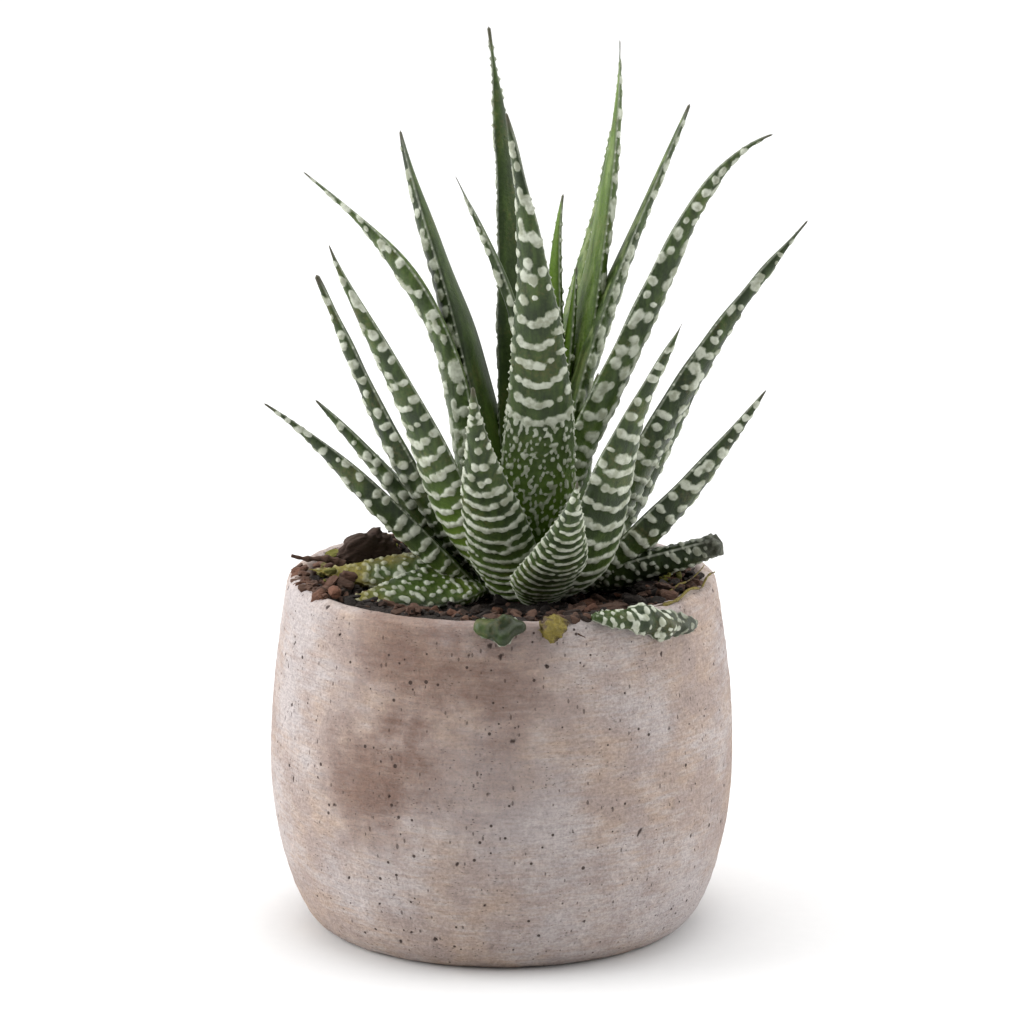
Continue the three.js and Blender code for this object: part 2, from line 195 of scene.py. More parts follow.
MARKINGS = {
    "great": Marking(0.14, 0.37, 0.64, 0.97, 4.8, 2.4, 2.5, 3.2, 4.0),
    "bold": Marking(0.04, 0.00, 0.62, 0.96, 4.6, 2.3, 2.4, 3.0, 3.0),
    "front": Marking(0.03, 0.00, 0.55, 0.96, 3.6, 1.8, 2.3, 2.7, 3.0),
    "close": Marking(0.03, 0.00, 0.78, 0.96, 2.9, 1.3, 2.0, 2.4, 2.2),
    "torn": Marking(0.03, 0.00, 0.10, 0.97, 2.5, 1.05, 1.7, 2.0, 0.5),
    "medium": Marking(0.05, 0.00, 0.35, 0.96, 4.2, 1.9, 2.4, 3.0, 1.6),
    "ovals": Marking(0.08, 0.00, 0.24, 0.97, 4.3, 2.5, 2.6, 3.1, 1.6),
    "sparse": Marking(0.15, 0.00, 0.00, 0.93, 4.6, 1.0, 2.4, 3.8, 0.6),
}

LEAVES = [
    Leaf("heart_leaf_right", 30, (15, 11, 7, 4), 62, 6, 3, 0.86,
         marking="sparse", light=0.35, warm=0.6, skin="bright_leaf"),
    Leaf("heart_leaf_left", 50, (24, -3, -8, 14), 79, 8, 4, 0.86, sway=-11,
         marking="sparse", light=0.3, warm=0.8, skin="bright_leaf"),
    Leaf("tall_leaf_back", 110, (8, 4, 9, 24), 119, 9, 4, 0.81, marking="ovals", light=0.15),
    Leaf("thin_leaf_left", 180, (-27, 8, 26, 26), 91, 6, 4, 0.69, sway=-4, marking="ovals"),
    Leaf("tall_leaf_right", 32, (16, 7, 18, -3), 119, 11, 5, 0.69, sway=-10,
         marking="ovals", light=0.55, warm=0.4, skin="bright_leaf"),
    Leaf("tall_leaf_right_inner", 55, (12, 21, 24, 14), 101, 8, 5, 0.69, sway=-4,
         marking="ovals", light=0.45, warm=0.3, skin="bright_leaf"),
    Leaf("upper_leaf_left", 155, (8, 8, 32, 10), 102, 12, 7, 0.53, sway=9,
         marking="ovals", light=0.25),
    Leaf("upper_leaf_right", 22, (3, 21, 28, 24), 110, 12, 5, 0.58, roll=-10,
         marking="ovals", light=0.5),
    Leaf("upper_leaf_back", 90, (35, 25, 20, 20), 84, 12, 5, 0.53),
    Leaf("arching_leaf_right", 345, (-2, 65, -24, 74), 120, 12, 6, 0.47, sway=-18, roll=-15,
         marking="ovals", light=0.4, warm=0.7),
    Leaf("arching_leaf_left", 172, (24, -26, 58, 54), 106, 11, 6, 0.42, sway=-13, roll=25,
         marking="ovals", light=0.45),
    Leaf("back_leaf_right", 64, (50, 40, 33, 30), 50, 13, 5, 0.36),
    Leaf("back_leaf_left", 112, (50, 40, 34, 30), 62, 13, 5, 0.36),
    Leaf("striped_leaf_left", 218, (42, 2, 48, 19), 95, 14, 6, 0.25, sway=-18, marking="bold",
         light=0.35, warm=0.8),
    Leaf("slim_leaf_left", 192, (44, 26, 20, 24), 84, 10, 5, 0.25, roll=5),
    Leaf("long_leaf_right", 350, (41, 12, 40, 39), 103, 13, 6, 0.25, sway=1, roll=-15),
    Leaf("long_leaf_right_under", 8, (63, 8, 35, 28), 63, 12, 5, 0.25, sway=13, roll=-10),
    Leaf("back_leaf_middle", 90, (60, 46, 40, 40), 75, 13, 5, 0.25),
    Leaf("great_striped_leaf", 280, (8, 24, 3, 14), 118, 17, 6, 0.19, sway=-90,
         marking="great", light=0.4, warm=0.8),
    Leaf("broad_leaf_right", 305, (72, -19, 43, 25), 82, 16, 6, 0.14, sway=40, marking="bold"),
    Leaf("short_leaf_left", 178, (46, 38, 38, 46), 58, 11, 5, 0.14, roll=20, light=0.35),
    Leaf("low_leaf_back_right", 38, (60, 50, 43, 40), 42, 13, 5, 0.14),
    Leaf("low_leaf_back_left", 142, (70, 57, 48, 45), 46, 13, 5, 0.14),
    Leaf("front_leaf_left", 250, (20, 46, 30, 7), 62, 17, 6, 0.06, sway=7, marking="front"),
    Leaf("front_leaf_right", 284, (47, 62, 47, 23), 52, 16, 6, 0.03, sway=-3, marking="close",
         light=0.35),
    Leaf("low_leaf_right", 340, (55, 42, 36, 35), 70, 12, 6, 0.06, roll=-15, light=0.15),
    Leaf("low_leaf_left", 195, (54, 39, 40, 56), 70, 11, 5, 0.06, roll=20, light=0.2),
    Leaf("ground_leaf_back_right", 76, (78, 66, 57, 50), 54, 13, 5, 0.08),
    Leaf("ground_leaf_back_left", 104, (78, 66, 57, 50), 54, 13, 5, 0.08),
    Leaf("broken_leaf_right", 346, (84, 68, 66, 70), 52, 12, 7, 0.19, roll=-15, kept=0.72,
         marking="torn", both_sides=True, light=0.05),
    Leaf("ground_leaf_right", 20, (84, 78, 74, 70), 30, 12, 5, 0.06),
    Leaf("ground_leaf_left", 160, (84, 80, 76, 72), 30, 12, 5, 0.06),
    Leaf("dry_tipped_leaf_left", 188, (80, 89, 88, 76), 41, 17, 6, 0.12, roll=-30,
         marking="torn", both_sides=True, light=0.2, warm=0.6, mossy=0.9),
    Leaf("dry_tipped_leaf_front_left", 206, (82, 92, 93, 88), 37, 15, 6, 0.08, roll=-28,
         marking="torn", both_sides=True, light=0.2, warm=0.6, mossy=0.7),
]


class Fallen(NamedTuple):
    """A piece that lies along the rim's shoulder: start and end round the pot, the heights of
    its middle above the neck line at both, and its section."""
    name: str
    start: float
    end: float
    rise: tuple
    width: float
    thick: float
    crumple: float
    skin: str
    marking: str = ""


FALLEN = [
    Fallen("fallen_striped_leaf", -66, -31, (3.4, -2.6), 6.4, 4.4, 0.5, "striped_leaf", "torn"),
    Fallen("fallen_leaf_piece", -97, -84, (1.6, 1.9), 6.4, 3, 0.75, "striped_leaf"),
    Fallen("yellow_leaf_piece", -81, -72, (1.4, 2.4), 6.4, 3, 1.0, "dried_leaf"),
]


class Chip(NamedTuple):
    """A loose bit on the soil: the way round the pot, how far out as a share of the pot's mouth,
    its height above the soil, half sizes, turn and tilt."""
    name: str
    heading: float
    reach: float
    height: float
    half: tuple
    turn: float
    tilt: float


BARK_CHIPS = [
    Chip("bark_chip_large", 174, 0.7, 5.5, (8.5, 3.8, 8.5), 14, -26),
    Chip("bark_chip_left", 189, 0.85, 2, (4.5, 4, 2.2), 40, 8),
    Chip("bark_chip_back", 110, 0.78, 2, (6, 4, 2.5), -30, 10),
    Chip("bark_chip_back_left", 139, 0.82, 2, (5, 3.5, 2.4), 70, -12),
    Chip("bark_chip_back_right", 47, 0.85, 2, (6, 3.5, 2.4), 15, 12),
    Chip("bark_chip_right", 340, 0.83, 2, (5, 3.5, 2.6), -25, 10),
    Chip("bark_chip_front", 308, 0.87, 2, (6, 3, 2.2), 35, -6),
]
DRIED_BIT = Chip("yellow_leaf_piece_right", 3, 0.88, 3.2, (3.4, 2.6, 2.2), 10, 12)


def size_setting(name, description, millimetres):
    """A length that a user can change."""
    return bpy.props.FloatProperty(
        name=name, description=description, default=millimetres * MM, unit="LENGTH", precision=5)


def share_setting(name, description, default):
    """A share from 0 to 1 that a user can change."""
    return bpy.props.FloatProperty(
        name=name, description=description, default=default, min=0, max=1, subtype="FACTOR")


def colour_setting(name, description, red, green, blue):
    """A colour that a user can change."""
    return bpy.props.FloatVectorProperty(
        name=name, description=description, default=screen_colour(red, green, blue),
        size=3, min=0, max=1, subtype="COLOR")


class PotSettings(bpy.types.PropertyGroup):
    """Sizes and colours of the fired-clay pot."""
    rim_height: size_setting("Height", "Height of the rim's top", POT_BOX[1].z / MM)
    belly_radius: size_setting("Belly radius", "Largest outer radius", POT_BOX[1].x / MM)
    foot_radius: size_setting("Foot radius", "Radius of the flat foot", 42.5)
    belly_height: size_setting("Belly height", "Height of the largest radius", 38)
    neck_radius: size_setting("Neck radius", "Outer radius below the rim", 51)
    wall: size_setting("Wall", "Thickness of the wall", 6)
    floor: size_setting("Floor", "Thickness of the floor", 8)
    unevenness: size_setting("Unevenness", "How far the hand-made side wanders", 0.35)
    clay: colour_setting("Clay", "The fired body", 164, 148, 141)
    bloom: colour_setting("Bloom", "Pale lime bloom on the clay", 182, 175, 175)
    blush: colour_setting("Blush", "Warm patches in the clay", 172, 152, 138)
    # The stain colour also lays the painted shade on the pot's upper front and front middle
    stain_and_shade_tone: colour_setting("Stain", "Brown damp stains", 112, 86, 74)
    pores: colour_setting("Pores", "Dark pits and pores", 58, 46, 42)


class SoilSettings(bpy.types.PropertyGroup):
    """Sizes and colours of the bark potting mix."""
    crumbs: share_setting("Crumbs", "How many crumbs, as a share of the usual number", 1)
    crumb_size: size_setting("Crumb size", "Half length of the largest crumbs", 2.4)
    heap: size_setting("Heap", "How much higher the soil stands along the rim", 3.2)
    earth: colour_setting("Earth", "Fine dark mix", 34, 25, 20)
    bark: colour_setting("Bark", "Brown bark", 80, 56, 43)
    red_bark: colour_setting("Red bark", "Fresh reddish bark", 98, 64, 47)
    moss: colour_setting("Moss", "Yellow-green moss", 104, 102, 34)


class LeafSettings(bpy.types.PropertyGroup):
    """Fineness, relief and colours of the leaves."""
    spacing: size_setting("Mesh spacing", "Distance between points on a leaf", 0.42)
    tubercle_height: size_setting("Tubercle height", "How far the white tubercles stand out", 0.4)
    tooth_reach: size_setting("Tooth reach", "How far the teeth stand out of the margins", 0.55)
    tooth_pitch: size_setting("Tooth pitch", "Distance from tooth to tooth", 2.3)
    deep_green: colour_setting("Deep green", "The darkest skin", 38, 50, 27)
    mid_green: colour_setting("Mid green", "The lighter skin", 80, 101, 48)
    # Fresh green is the young leaves' own colour, and on the bright inner leaves it also stands in
    # for their backlit glow, painted light
    fresh_green: colour_setting("Fresh green", "The youngest leaves", 92, 122, 28)
    pale_base: colour_setting("Pale base", "The skin near the root", 90, 118, 32)
    pale_stripe: colour_setting("Pale stripe", "Streaks along the inner side", 146, 158, 108)
    russet: colour_setting("Russet", "Brown blush in the skin", 96, 76, 50)
    chalk: colour_setting("Tubercles", "The white of the tubercles", 200, 204, 188)
    dull_chalk: colour_setting("Dull tubercles", "The greyer of them", 158, 162, 142)
    cut_end: colour_setting("Cut end", "The dark end of a broken leaf", 52, 52, 40)
    dry_tip: colour_setting("Dry tip", "The dried point", 74, 70, 56)
    dried: colour_setting("Dried leaf", "Yellow dried leaf bits", 140, 124, 40)


class StageSettings(bpy.types.PropertyGroup):
    """Camera, floor and lights."""
    camera_distance: size_setting("Camera distance", "From the camera to its target", 1158)
    camera_tilt: bpy.props.FloatProperty(
        name="Camera tilt", description="How far the camera looks down",
        default=math.radians(12.9), subtype="ANGLE", unit="ROTATION")
    camera_lens: bpy.props.FloatProperty(
        name="Lens", description="Focal length of the camera", default=172.4, min=1,
        subtype="DISTANCE_CAMERA")
    target_height: size_setting("Target height", "Height that the camera looks at", 98.6)
    sky: bpy.props.FloatProperty(
        name="Sky", description="Brightness of the white surroundings", default=1.03, min=0)
    side_light: bpy.props.FloatProperty(
        name="Side light", description="Power of the left light", default=8, min=0,
        subtype="POWER", unit="POWER")
    shade_size: size_setting("Shade size", "Width of the black card behind the camera", 1700)
    # The floor's colour is painted light: greyer paper near the pot, where the lamps add light, and
    # white paper away from it, where only the white surroundings reach
    paper: colour_setting("Paper", "The pale floor", 224, 224, 224)
    far_paper_painted_light: colour_setting("Far paper", "The floor away from the pot", 255, 255, 255)


SETTINGS = {
    "haworthia_pot": PotSettings,
    "haworthia_soil": SoilSettings,
    "haworthia_leaf": LeafSettings,
    "haworthia_stage": StageSettings,
}


class Socket:
    """A shader value: Python arithmetic on it adds Math nodes."""

    def __init__(self, finish, socket):
        self.finish = finish
        self.socket = socket

    def maths(self, operation, *values):
        """The result of one Math node on these values."""
        kind = {"operation": operation}
        return self.finish.add("ShaderNodeMath", kind, dict(enumerate(values)))

    def __add__(self, other):
        return self.maths("ADD", self, other)

    __radd__ = __add__

    def __sub__(self, other):
        return self.maths("SUBTRACT", self, other)

    def __rsub__(self, other):
        return self.maths("SUBTRACT", other, self)

    def __mul__(self, other):
        return self.maths("MULTIPLY", self, other)

    __rmul__ = __mul__

    def step(self, low, high):
        """0 below low, 1 above high and a smooth rise between."""
        settings = {"interpolation_type": "SMOOTHSTEP", "clamp": True}
        values = {0: self, 1: low, 2: high, 3: 0, 4: 1}
        return self.finish.add("ShaderNodeMapRange", settings, values)


class Finish:
    """One material and the nodes that make it."""

    def __init__(self, name):
        self.material = bpy.data.materials.new(name)
        self.material.use_nodes = True
        self.tree = self.material.node_tree
        self.tree.nodes.clear()
        self.place = self.add("ShaderNodeTexCoord", output="Object")

    def add(self, kind, settings=None, values=None, output=0):
        """Adds a node with its settings, then its sockets' values or links. Returns an output."""
        node = self.tree.nodes.new(kind)
        for name, setting in (settings or {}).items():
            setattr(node, name, setting)
        for name, value in (values or {}).items():
            target = node.inputs[name]
            if isinstance(value, Socket):
                self.tree.links.new(value.socket, target)
            elif target.type == "RGBA":
                target.default_value = [*value, 1]
            else:
                target.default_value = value
        return Socket(self, node.outputs[output])

    def blend(self, share, low, high):
        """A colour that goes from low to high with a share."""
        values = {0: share, 6: low, 7: high}
        return self.add("ShaderNodeMix", {"data_type": "RGBA"}, values, output=2)

    def shade(self, colour, strength):
        """A colour made darker or lighter by a number."""
        scaled = {"operation": "SCALE"}
        return self.add("ShaderNodeVectorMath", scaled, {0: colour, "Scale": strength})

    def stretch(self, vector, x, y, z):
        """Coordinates stretched along each axis."""
        product = {"operation": "MULTIPLY"}
        return self.add("ShaderNodeVectorMath", product, {0: vector, 1: (x, y, z)})

    def noise(self, scale, detail=3, roughness=0.5, vector=None):
        """A smooth random value from 0 to 1. Scale counts its features to the metre."""
        values = {"Vector": vector or self.place, "Scale": scale, "Detail": detail,
                  "Roughness": roughness}
        return self.add("ShaderNodeTexNoise", {}, values)

    def cells(self, scale, vector=None):
        """The distance to the nearest of scattered points, from 0."""
        values = {"Vector": vector or self.place, "Scale": scale}
        return self.add("ShaderNodeTexVoronoi", {}, values)

    def channels(self, name):
        """The four numbers that a piece's points carry under one name."""
        kind = "ShaderNodeAttribute"
        colour = self.add(kind, {"attribute_name": name}, output="Color")
        split = self.tree.nodes.new("ShaderNodeSeparateColor")
        self.tree.links.new(colour.socket, split.inputs[0])
        alpha = Socket(self, colour.socket.node.outputs["Alpha"])
        return [Socket(self, output) for output in split.outputs] + [alpha]

    def distance(self, centre):
        """The distance in metres from a place given in millimetres."""
        middle = tuple(value * MM for value in centre)
        measured = {"operation": "DISTANCE"}
        return self.add("ShaderNodeVectorMath", measured, {0: self.place, 1: middle}, output=1)

    def bump(self, height, rise, strength):
        """A normal raised by a height, by up to a rise in millimetres."""
        values = {"Height": height, "Distance": rise * MM, "Strength": strength}
        return self.add("ShaderNodeBump", {}, values)

    def surface(self, constants, **values):
        """Ends the material with a Principled shader."""
        sockets = {name.replace("_", " ").title(): value for name, value in values.items()}
        shader = self.add("ShaderNodeBsdfPrincipled", {}, {**constants, **sockets})
        output = self.tree.nodes.new("ShaderNodeOutputMaterial")
        self.tree.links.new(shader.socket, output.inputs["Surface"])
        return self.material


def finish_piece(name, points, faces, material, nodes=(), attributes=None, bake_map=None,
                 smooth=True):
    """Makes one piece from points in millimetres, and hands it to the frame."""
    mesh = bpy.data.meshes.new(name)
    mesh.from_pydata((points * MM).tolist(), [], faces)
    for label, values in (attributes or {}).items():
        layer = mesh.attributes.new(label, "FLOAT_COLOR", "POINT")
        layer.data.foreach_set("color", values.astype(np.float32).ravel())
    if bake_map is not None:
        layer = mesh.uv_layers.new(name="OFBake")
        layer.data.foreach_set("uv", bake_map.astype(np.float32).ravel())
    if smooth:
        mesh.shade_smooth()
    mesh.materials.append(material)
    piece = bpy.data.objects.new(name, mesh)
    bpy.context.scene.collection.objects.link(piece)
    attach(piece, BODY)
    if nodes:
        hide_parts(*nodes)
    return piece


def sleeve(rings, start, end):
    """Points, faces and a flat map of a closed skin over equal rings, with a point at each end."""
    count, sides = rings.shape[:2]
    points = np.vstack([rings.reshape(-1, 3), start, end])
    row, side = np.meshgrid(np.arange(count - 1), np.arange(sides), indexing="ij")
    here = (row * sides + side).ravel()
    beside = (row * sides + (side + 1) % sides).ravel()
    quads = np.stack([here, beside, beside + sides, here + sides], axis=1)
    around = np.arange(sides)
    following = (around + 1) % sides
    last = (count - 1) * sides
    first_fan = np.stack([following, around, np.full(sides, count * sides)], axis=1)
    last_fan = np.stack([last + around, last + following, np.full(sides, count * sides + 1)],
                        axis=1)

    left, right = side.ravel() / sides, (side.ravel() + 1) / sides
    low, high = (row.ravel() + 1) / (count + 1), (row.ravel() + 2) / (count + 1)
    quad_map = np.stack([left, low, right, low, right, high, left, high], axis=1)
    fan_left, fan_right = around / sides, (around + 1) / sides
    middle, edge = (fan_left + fan_right) / 2, 1 / (count + 1)
    flat = np.ones(sides)
    first_map = np.stack([fan_right, flat * edge, fan_left, flat * edge, middle, flat * 0], axis=1)
    last_map = np.stack([fan_left, flat * (1 - edge), fan_right, flat * (1 - edge), middle, flat],
                        axis=1)
    faces = quads.tolist() + first_fan.tolist() + last_fan.tolist()
    bake_map = np.concatenate([quad_map.ravel(), first_map.ravel(), last_map.ravel()])
    return points, faces, bake_map


def ring_normals(rings):
    """Outward directions at the points of a sleeve's rings."""
    around = np.roll(rings, -1, axis=1) - np.roll(rings, 1, axis=1)
    along = np.gradient(rings, axis=0)
    normals = unit(np.cross(around, along))
    outward = rings - rings.mean(axis=1, keepdims=True)
    return normals * np.sign(np.sum(normals * outward))


# Leaves

def cubic(values, share):
    """The cubic curve through four control values."""
    a, b, c, d = values
    rest = 1 - share
    return a * rest ** 3 + 3 * b * rest ** 2 * share + 3 * c * rest * share ** 2 + d * share ** 3


def leaf_heading(leaf, share):
    """The direction that a leaf grows in, and the way round the crown, at each share."""
    lean = np.radians(cubic(leaf.lean, share))
    azimuth = np.radians(leaf.turn + leaf.sway * share ** 2)
    return placed(azimuth, np.sin(lean), np.cos(lean)), azimuth


def leaf_spine(leaf, share):
    """Centres and axes of a leaf's sections at each share of its length."""
    steps = LONG_LEAF_STEPS if leaf.length > LONG_LEAF else SHORT_LEAF_STEPS
    knots = np.arange(steps + 1) / steps
    stride = leaf.length / steps
    runs, _ = leaf_heading(leaf, knots[:-1])
    start = mix(CROWN_BASE_RADIUS, CROWN_TIP_RADIUS, leaf.seat) + GAP
    height = SOIL_TOP + leaf.seat * CROWN_RISE
    root = placed(math.radians(leaf.turn), start, height) + [CROWN_X, 0, 0]
    corners = root + np.vstack([np.zeros(3), np.cumsum(runs * stride, axis=0)])
    along, azimuth = leaf_heading(leaf, share)
    cell = np.clip((share * steps).astype(int), 0, steps - 1)
    local = (share * steps - cell)[:, None]
    # A corner-to-corner curve whose slope is the leaf's own heading
    slope, _ = leaf_heading(leaf, knots)
    near, far = corners[cell], corners[cell + 1]
    lag = (slope[cell + 1] - slope[cell]) * stride / 2
    centre = mix(near, far, local) - lag * local * (1 - local)
    across = np.stack([-np.sin(azimuth), np.cos(azimuth), np.zeros_like(share)], axis=1)
    twist = np.radians(leaf.roll) * smoothstep(share, 0, ROLLED_BY)[:, None]
    across = across * np.cos(twist) + np.cross(along, across) * np.sin(twist)
    return centre, along, across, np.cross(across, along)


def leaf_section(share):
    """Width and thickness of a leaf at each share of its length, as shares of its fullest."""
    base = mix(BASE_NARROWING, 1, smoothstep(share, 0, BASE_SHARE))
    taper = (1 - share) * (1 + WIDTH_FULLNESS * share - TIP_DRAW * share ** 2)
    return base * taper, base * (1 - share ** THICKNESS_DRAW)


def section_rings(centre, across, under, width, thick, outer, inner):
    """Rings round a leaf: a full underside of outer + 1 points and a flatter inner side."""
    under_angles = np.linspace(math.pi, 0, outer + 1)
    inner_angles = np.linspace(0, -math.pi, inner + 1)[1:-1]
    side = np.concatenate([np.cos(under_angles), np.cos(inner_angles)])
    depth = np.concatenate([np.sin(under_angles) * UNDERSIDE_DEPTH,
                            np.sin(inner_angles) * INNER_DEPTH]) - INNER_DEPTH
    return (centre[:, None]
            + across[:, None] * (side * width[:, None] / 2)[..., None]
            + under[:, None] * (depth * thick[:, None])[..., None])


# How tubercles grow from the root and shrink to the tip, and how far rows and their tubercles
# drift in bands and where they are loose
ROOT_GROWTH = 0.62
TIP_GROWTH = 0.72
ROW_STAGGER = 0.3
BAND_DRIFT = 0.06
LOOSE_DRIFT = 0.10
LOOSE_SHIFT = 0.07
UNEVEN = (0.7, 1.25)
STUNTED_SIZE = 0.6
STUNTED_ODDS = (0.06, 0.16)

# Fine specks: their gap and row step, half sizes, drift in their own gap and scatter
SPECK_GAP = 1.5
SPECK_STEP = 1.35
SPECK_TALL = (0.4, 0.85)
SPECK_WIDE = (0.28, 0.5)
SPECK_DRIFT = 0.28
SPECK_SCATTER = 0.5


def tubercle_field(length, kept, marking, run, side, half, rng):
    """How deep inside a tubercle each point of a leaf's face lies: 1 at its middle, 0 at its
    edge and -1 well outside, with near ones merging. run is the way along the leaf and side
    the way across it."""
    total = np.full(side.shape, math.exp(-2 * MERGING))
    place = marking.first * length
    end = min(marking.last, kept) * length
    row = 0
    while place < end:
        share = place / length
        loose = float(smoothstep(share, marking.bands_to - 0.08, marking.bands_to + 0.12))
        growth = mix(ROOT_GROWTH, 1, float(smoothstep(share, 0, 0.35)))
        growth *= mix(1, TIP_GROWTH, float(smoothstep(share, 0.6, 1)))
        speck = share < marking.specks_to
        row_half = max(0.4, float(np.interp(place, run, half)))
        gap = mix(marking.crowding, marking.spread, loose) * max(growth, 0.75)
        gap = SPECK_GAP if speck else gap
        count = max(1, round(2 * row_half / gap))
        gap = 2 * row_half / count
        for column in range(count):
            drift = SPECK_DRIFT if speck else BAND_DRIFT + LOOSE_DRIFT * loose
            spot = (column + 0.5 + rng.normal(0, drift)) / count * 2 - 1
            middle = spot * row_half
            stagger = loose * ROW_STAGGER * ((column + row) % 2)
            level = place + marking.bow * growth * (spot ** 2 - 0.4)
            shift = stagger + rng.normal(0, BAND_DRIFT + LOOSE_SHIFT * loose)
            level += shift * marking.pitch * growth
            if speck:
                tall, wide = rng.uniform(*SPECK_TALL), rng.uniform(*SPECK_WIDE)
                level += rng.normal(0, SPECK_SCATTER)
            else:
                tall = marking.band / 2 * growth * mix(0.95, 1.35, loose) * rng.uniform(*UNEVEN)
                wide = gap * mix(0.58, 0.42, loose) * rng.uniform(0.75, 1.25)
            if rng.random() < mix(*STUNTED_ODDS, loose):
                tall *= STUNTED_SIZE
                wide *= STUNTED_SIZE
            near = np.abs(run - level) < 2.2 * tall
            distance = np.hypot((run[near, None] - level) / tall, (side[near] - middle) / wide)
            total[near] += np.exp(-MERGING * distance)
        place += (SPECK_STEP if speck else marking.pitch * growth) * rng.uniform(0.88, 1.12)
        row += 1
    return np.clip(1 + np.log(total) / MERGING, -1, 1)


def arc_places(rings, columns):
    """How far each point lies across a face from its middle line, and half the face's width."""
    face = rings[:, columns]
    strides = np.linalg.norm(np.diff(face, axis=1), axis=2)
    arc = np.hstack([np.zeros((len(rings), 1)), np.cumsum(strides, axis=1)])
    half = arc[:, -1] / 2
    return arc - half[:, None], half


def tooth_rows(run, kept_length, settings, rng):
    """How far the teeth of both margins stand out at each place along a leaf."""
    pitch = settings.tooth_pitch / MM
    teeth = np.zeros((len(run), 2))
    for edge in range(2):
        place = rng.uniform(0, pitch)
        while place < 0.97 * kept_length:
            width = rng.uniform(0.45, 0.65)
            reach = settings.tooth_reach / MM * rng.uniform(0.6, 1.3)
            teeth[:, edge] = np.maximum(teeth[:, edge], reach * (1 - np.abs(run - place) / width))
            place += pitch * rng.uniform(0.7, 1.3)
    return teeth


def leaf_relief(rings, length, kept, marking, outer, settings, seed, both_sides=False):
    """Raises tubercles and teeth on a leaf's rings. Returns the rings and what the skin shows:
    the tubercle field, the share of the length, the inner side and the nearness to a margin."""
    rng = np.random.default_rng(seed)
    count, sides = rings.shape[:2]
    share = np.linspace(0, kept, count)
    run = share * length
    normals = ring_normals(rings)
    under = np.arange(outer + 1)
    inner = np.arange(outer, sides + 1) % sides
    field = np.full((count, sides), -1.0)
    marked = [under, inner] if both_sides else [under]
    for columns in marked if marking else []:
        side, half = arc_places(rings, columns)
        made = tubercle_field(length, kept, marking, run, side, half * 0.97, rng)
        field[:, columns] = np.maximum(field[:, columns], made)
    ragged = waves(rings, 1.3, seed + 7) * 0.13
    field = np.where(field > -0.8, field + ragged, field)
    inside = np.clip(field, 0, 1)
    swell = np.sqrt(inside * (2 - inside)) * settings.tubercle_height / MM
    swell *= mix(1, 0.6, smoothstep(share, 0.6, 1))[:, None]

    margin = np.zeros((count, sides))
    for columns in (under, inner):
        side, half = arc_places(rings, columns)
        near = np.clip(1 - (half[:, None] - np.abs(side)) / MARGIN_WIDTH, 0, 1)
        margin[:, columns] = np.maximum(margin[:, columns], near)
    teeth = tooth_rows(run, kept * length, settings, rng) * smoothstep(share, 0.02, 0.1)[:, None]
    out = unit(rings[:, outer] - rings[:, 0])
    raised = rings + normals * swell[..., None]
    for edge, column, way in ((0, 0, -1), (1, outer, 1)):
        for offset, part in ((-1, TOOTH_FLANK), (0, 1), (1, TOOTH_FLANK)):
            push = part * teeth[:, edge]
            raised[:, column + offset] += out * (way * push)[:, None]
            field[:, column + offset] = np.maximum(field[:, column + offset], push * 1.2 - 0.2)

    inner_side = np.zeros(sides)
    inner_side[inner] = np.sin(np.linspace(0, math.pi, len(inner)))
    shows = np.stack([
        field * 0.5 + 0.5,
        np.broadcast_to(share[:, None], field.shape),
        np.broadcast_to(inner_side, field.shape),
        margin,
    ], axis=-1)
    return raised, shows


def with_end_points(values):
    """The values of a sleeve's points, with those of its two end points added."""
    return np.vstack([values.reshape(-1, 4), values[0].mean(0), values[-1].mean(0)])


def finish_leaf(leaf, rings, start, end, shows, tint, material):
    """Closes a leaf's rings into a skin that carries what it shows and its tint."""
    points, faces, bake_map = sleeve(rings, start, end)
    attributes = {"skin": with_end_points(shows), "tint": np.tile(tint, (len(points), 1))}
    finish_piece(leaf.name + "_skin", points, faces, material, [leaf.name],
                 attributes, bake_map)


# Leaf meshes: where the point of a whole leaf begins, the fewest rows, the length of each face
# across as a share of the width, and the fewest and most points across it
WHOLE = 0.995
LEAST_ROWS = 24
UNDERSIDE_ARC = 1.2
UNDERSIDE_POINTS = (18, 52)
INNER_ARC = 0.9
INNER_POINTS = (10, 30)

# How far the end point stands out of a torn end and of a whole tip
TORN_END = 1.2
WHOLE_TIP = 0.6


def build_leaf(leaf, settings, material, seed):
    """One leaf, from its root at the crown to its tip."""
    spacing = settings.spacing / MM
    shown = min(leaf.kept, WHOLE)
    rows = max(LEAST_ROWS, round(leaf.length * shown / spacing))
    share = np.linspace(0, shown, rows)
    centre, along, across, under = leaf_spine(leaf, share)
    width, thick = leaf_section(share)
    width = leaf.width * width + TIP_SIZE
    thick = leaf.thick * thick + TIP_SIZE
    outer = int(np.clip(round(leaf.width * UNDERSIDE_ARC / spacing), *UNDERSIDE_POINTS))
    inner = int(np.clip(round(leaf.width * INNER_ARC / spacing), *INNER_POINTS))
    rings = section_rings(centre, across, under, width, thick, outer, inner)
    rings += ring_normals(rings) * (waves(rings, 22, seed) * 0.25)[..., None]
    marking = MARKINGS[leaf.marking]
    rings, shows = leaf_relief(rings, leaf.length, shown, marking, outer, settings, seed,
                               leaf.both_sides)
    if leaf.kept < 1:
        torn = smoothstep(share, shown - 0.06, shown)[:, None] * waves(rings, 1.5, seed + 3) * 0.7
        rings += ring_normals(rings) * torn[..., None]
    tip = centre[-1] + along[-1] * (TORN_END if leaf.kept < 1 else WHOLE_TIP)
    rng = np.random.default_rng(seed + TINT_SEED)
    tint = np.array([
        np.clip(leaf.light + rng.normal(0, 0.05), 0, 1),
        np.clip(leaf.warm + rng.normal(0, 0.05), 0, 1),
        1 if leaf.kept < 1 else 0,
        leaf.mossy,
    ])
    finish_leaf(leaf, rings, centre[0], tip, shows, tint, material)


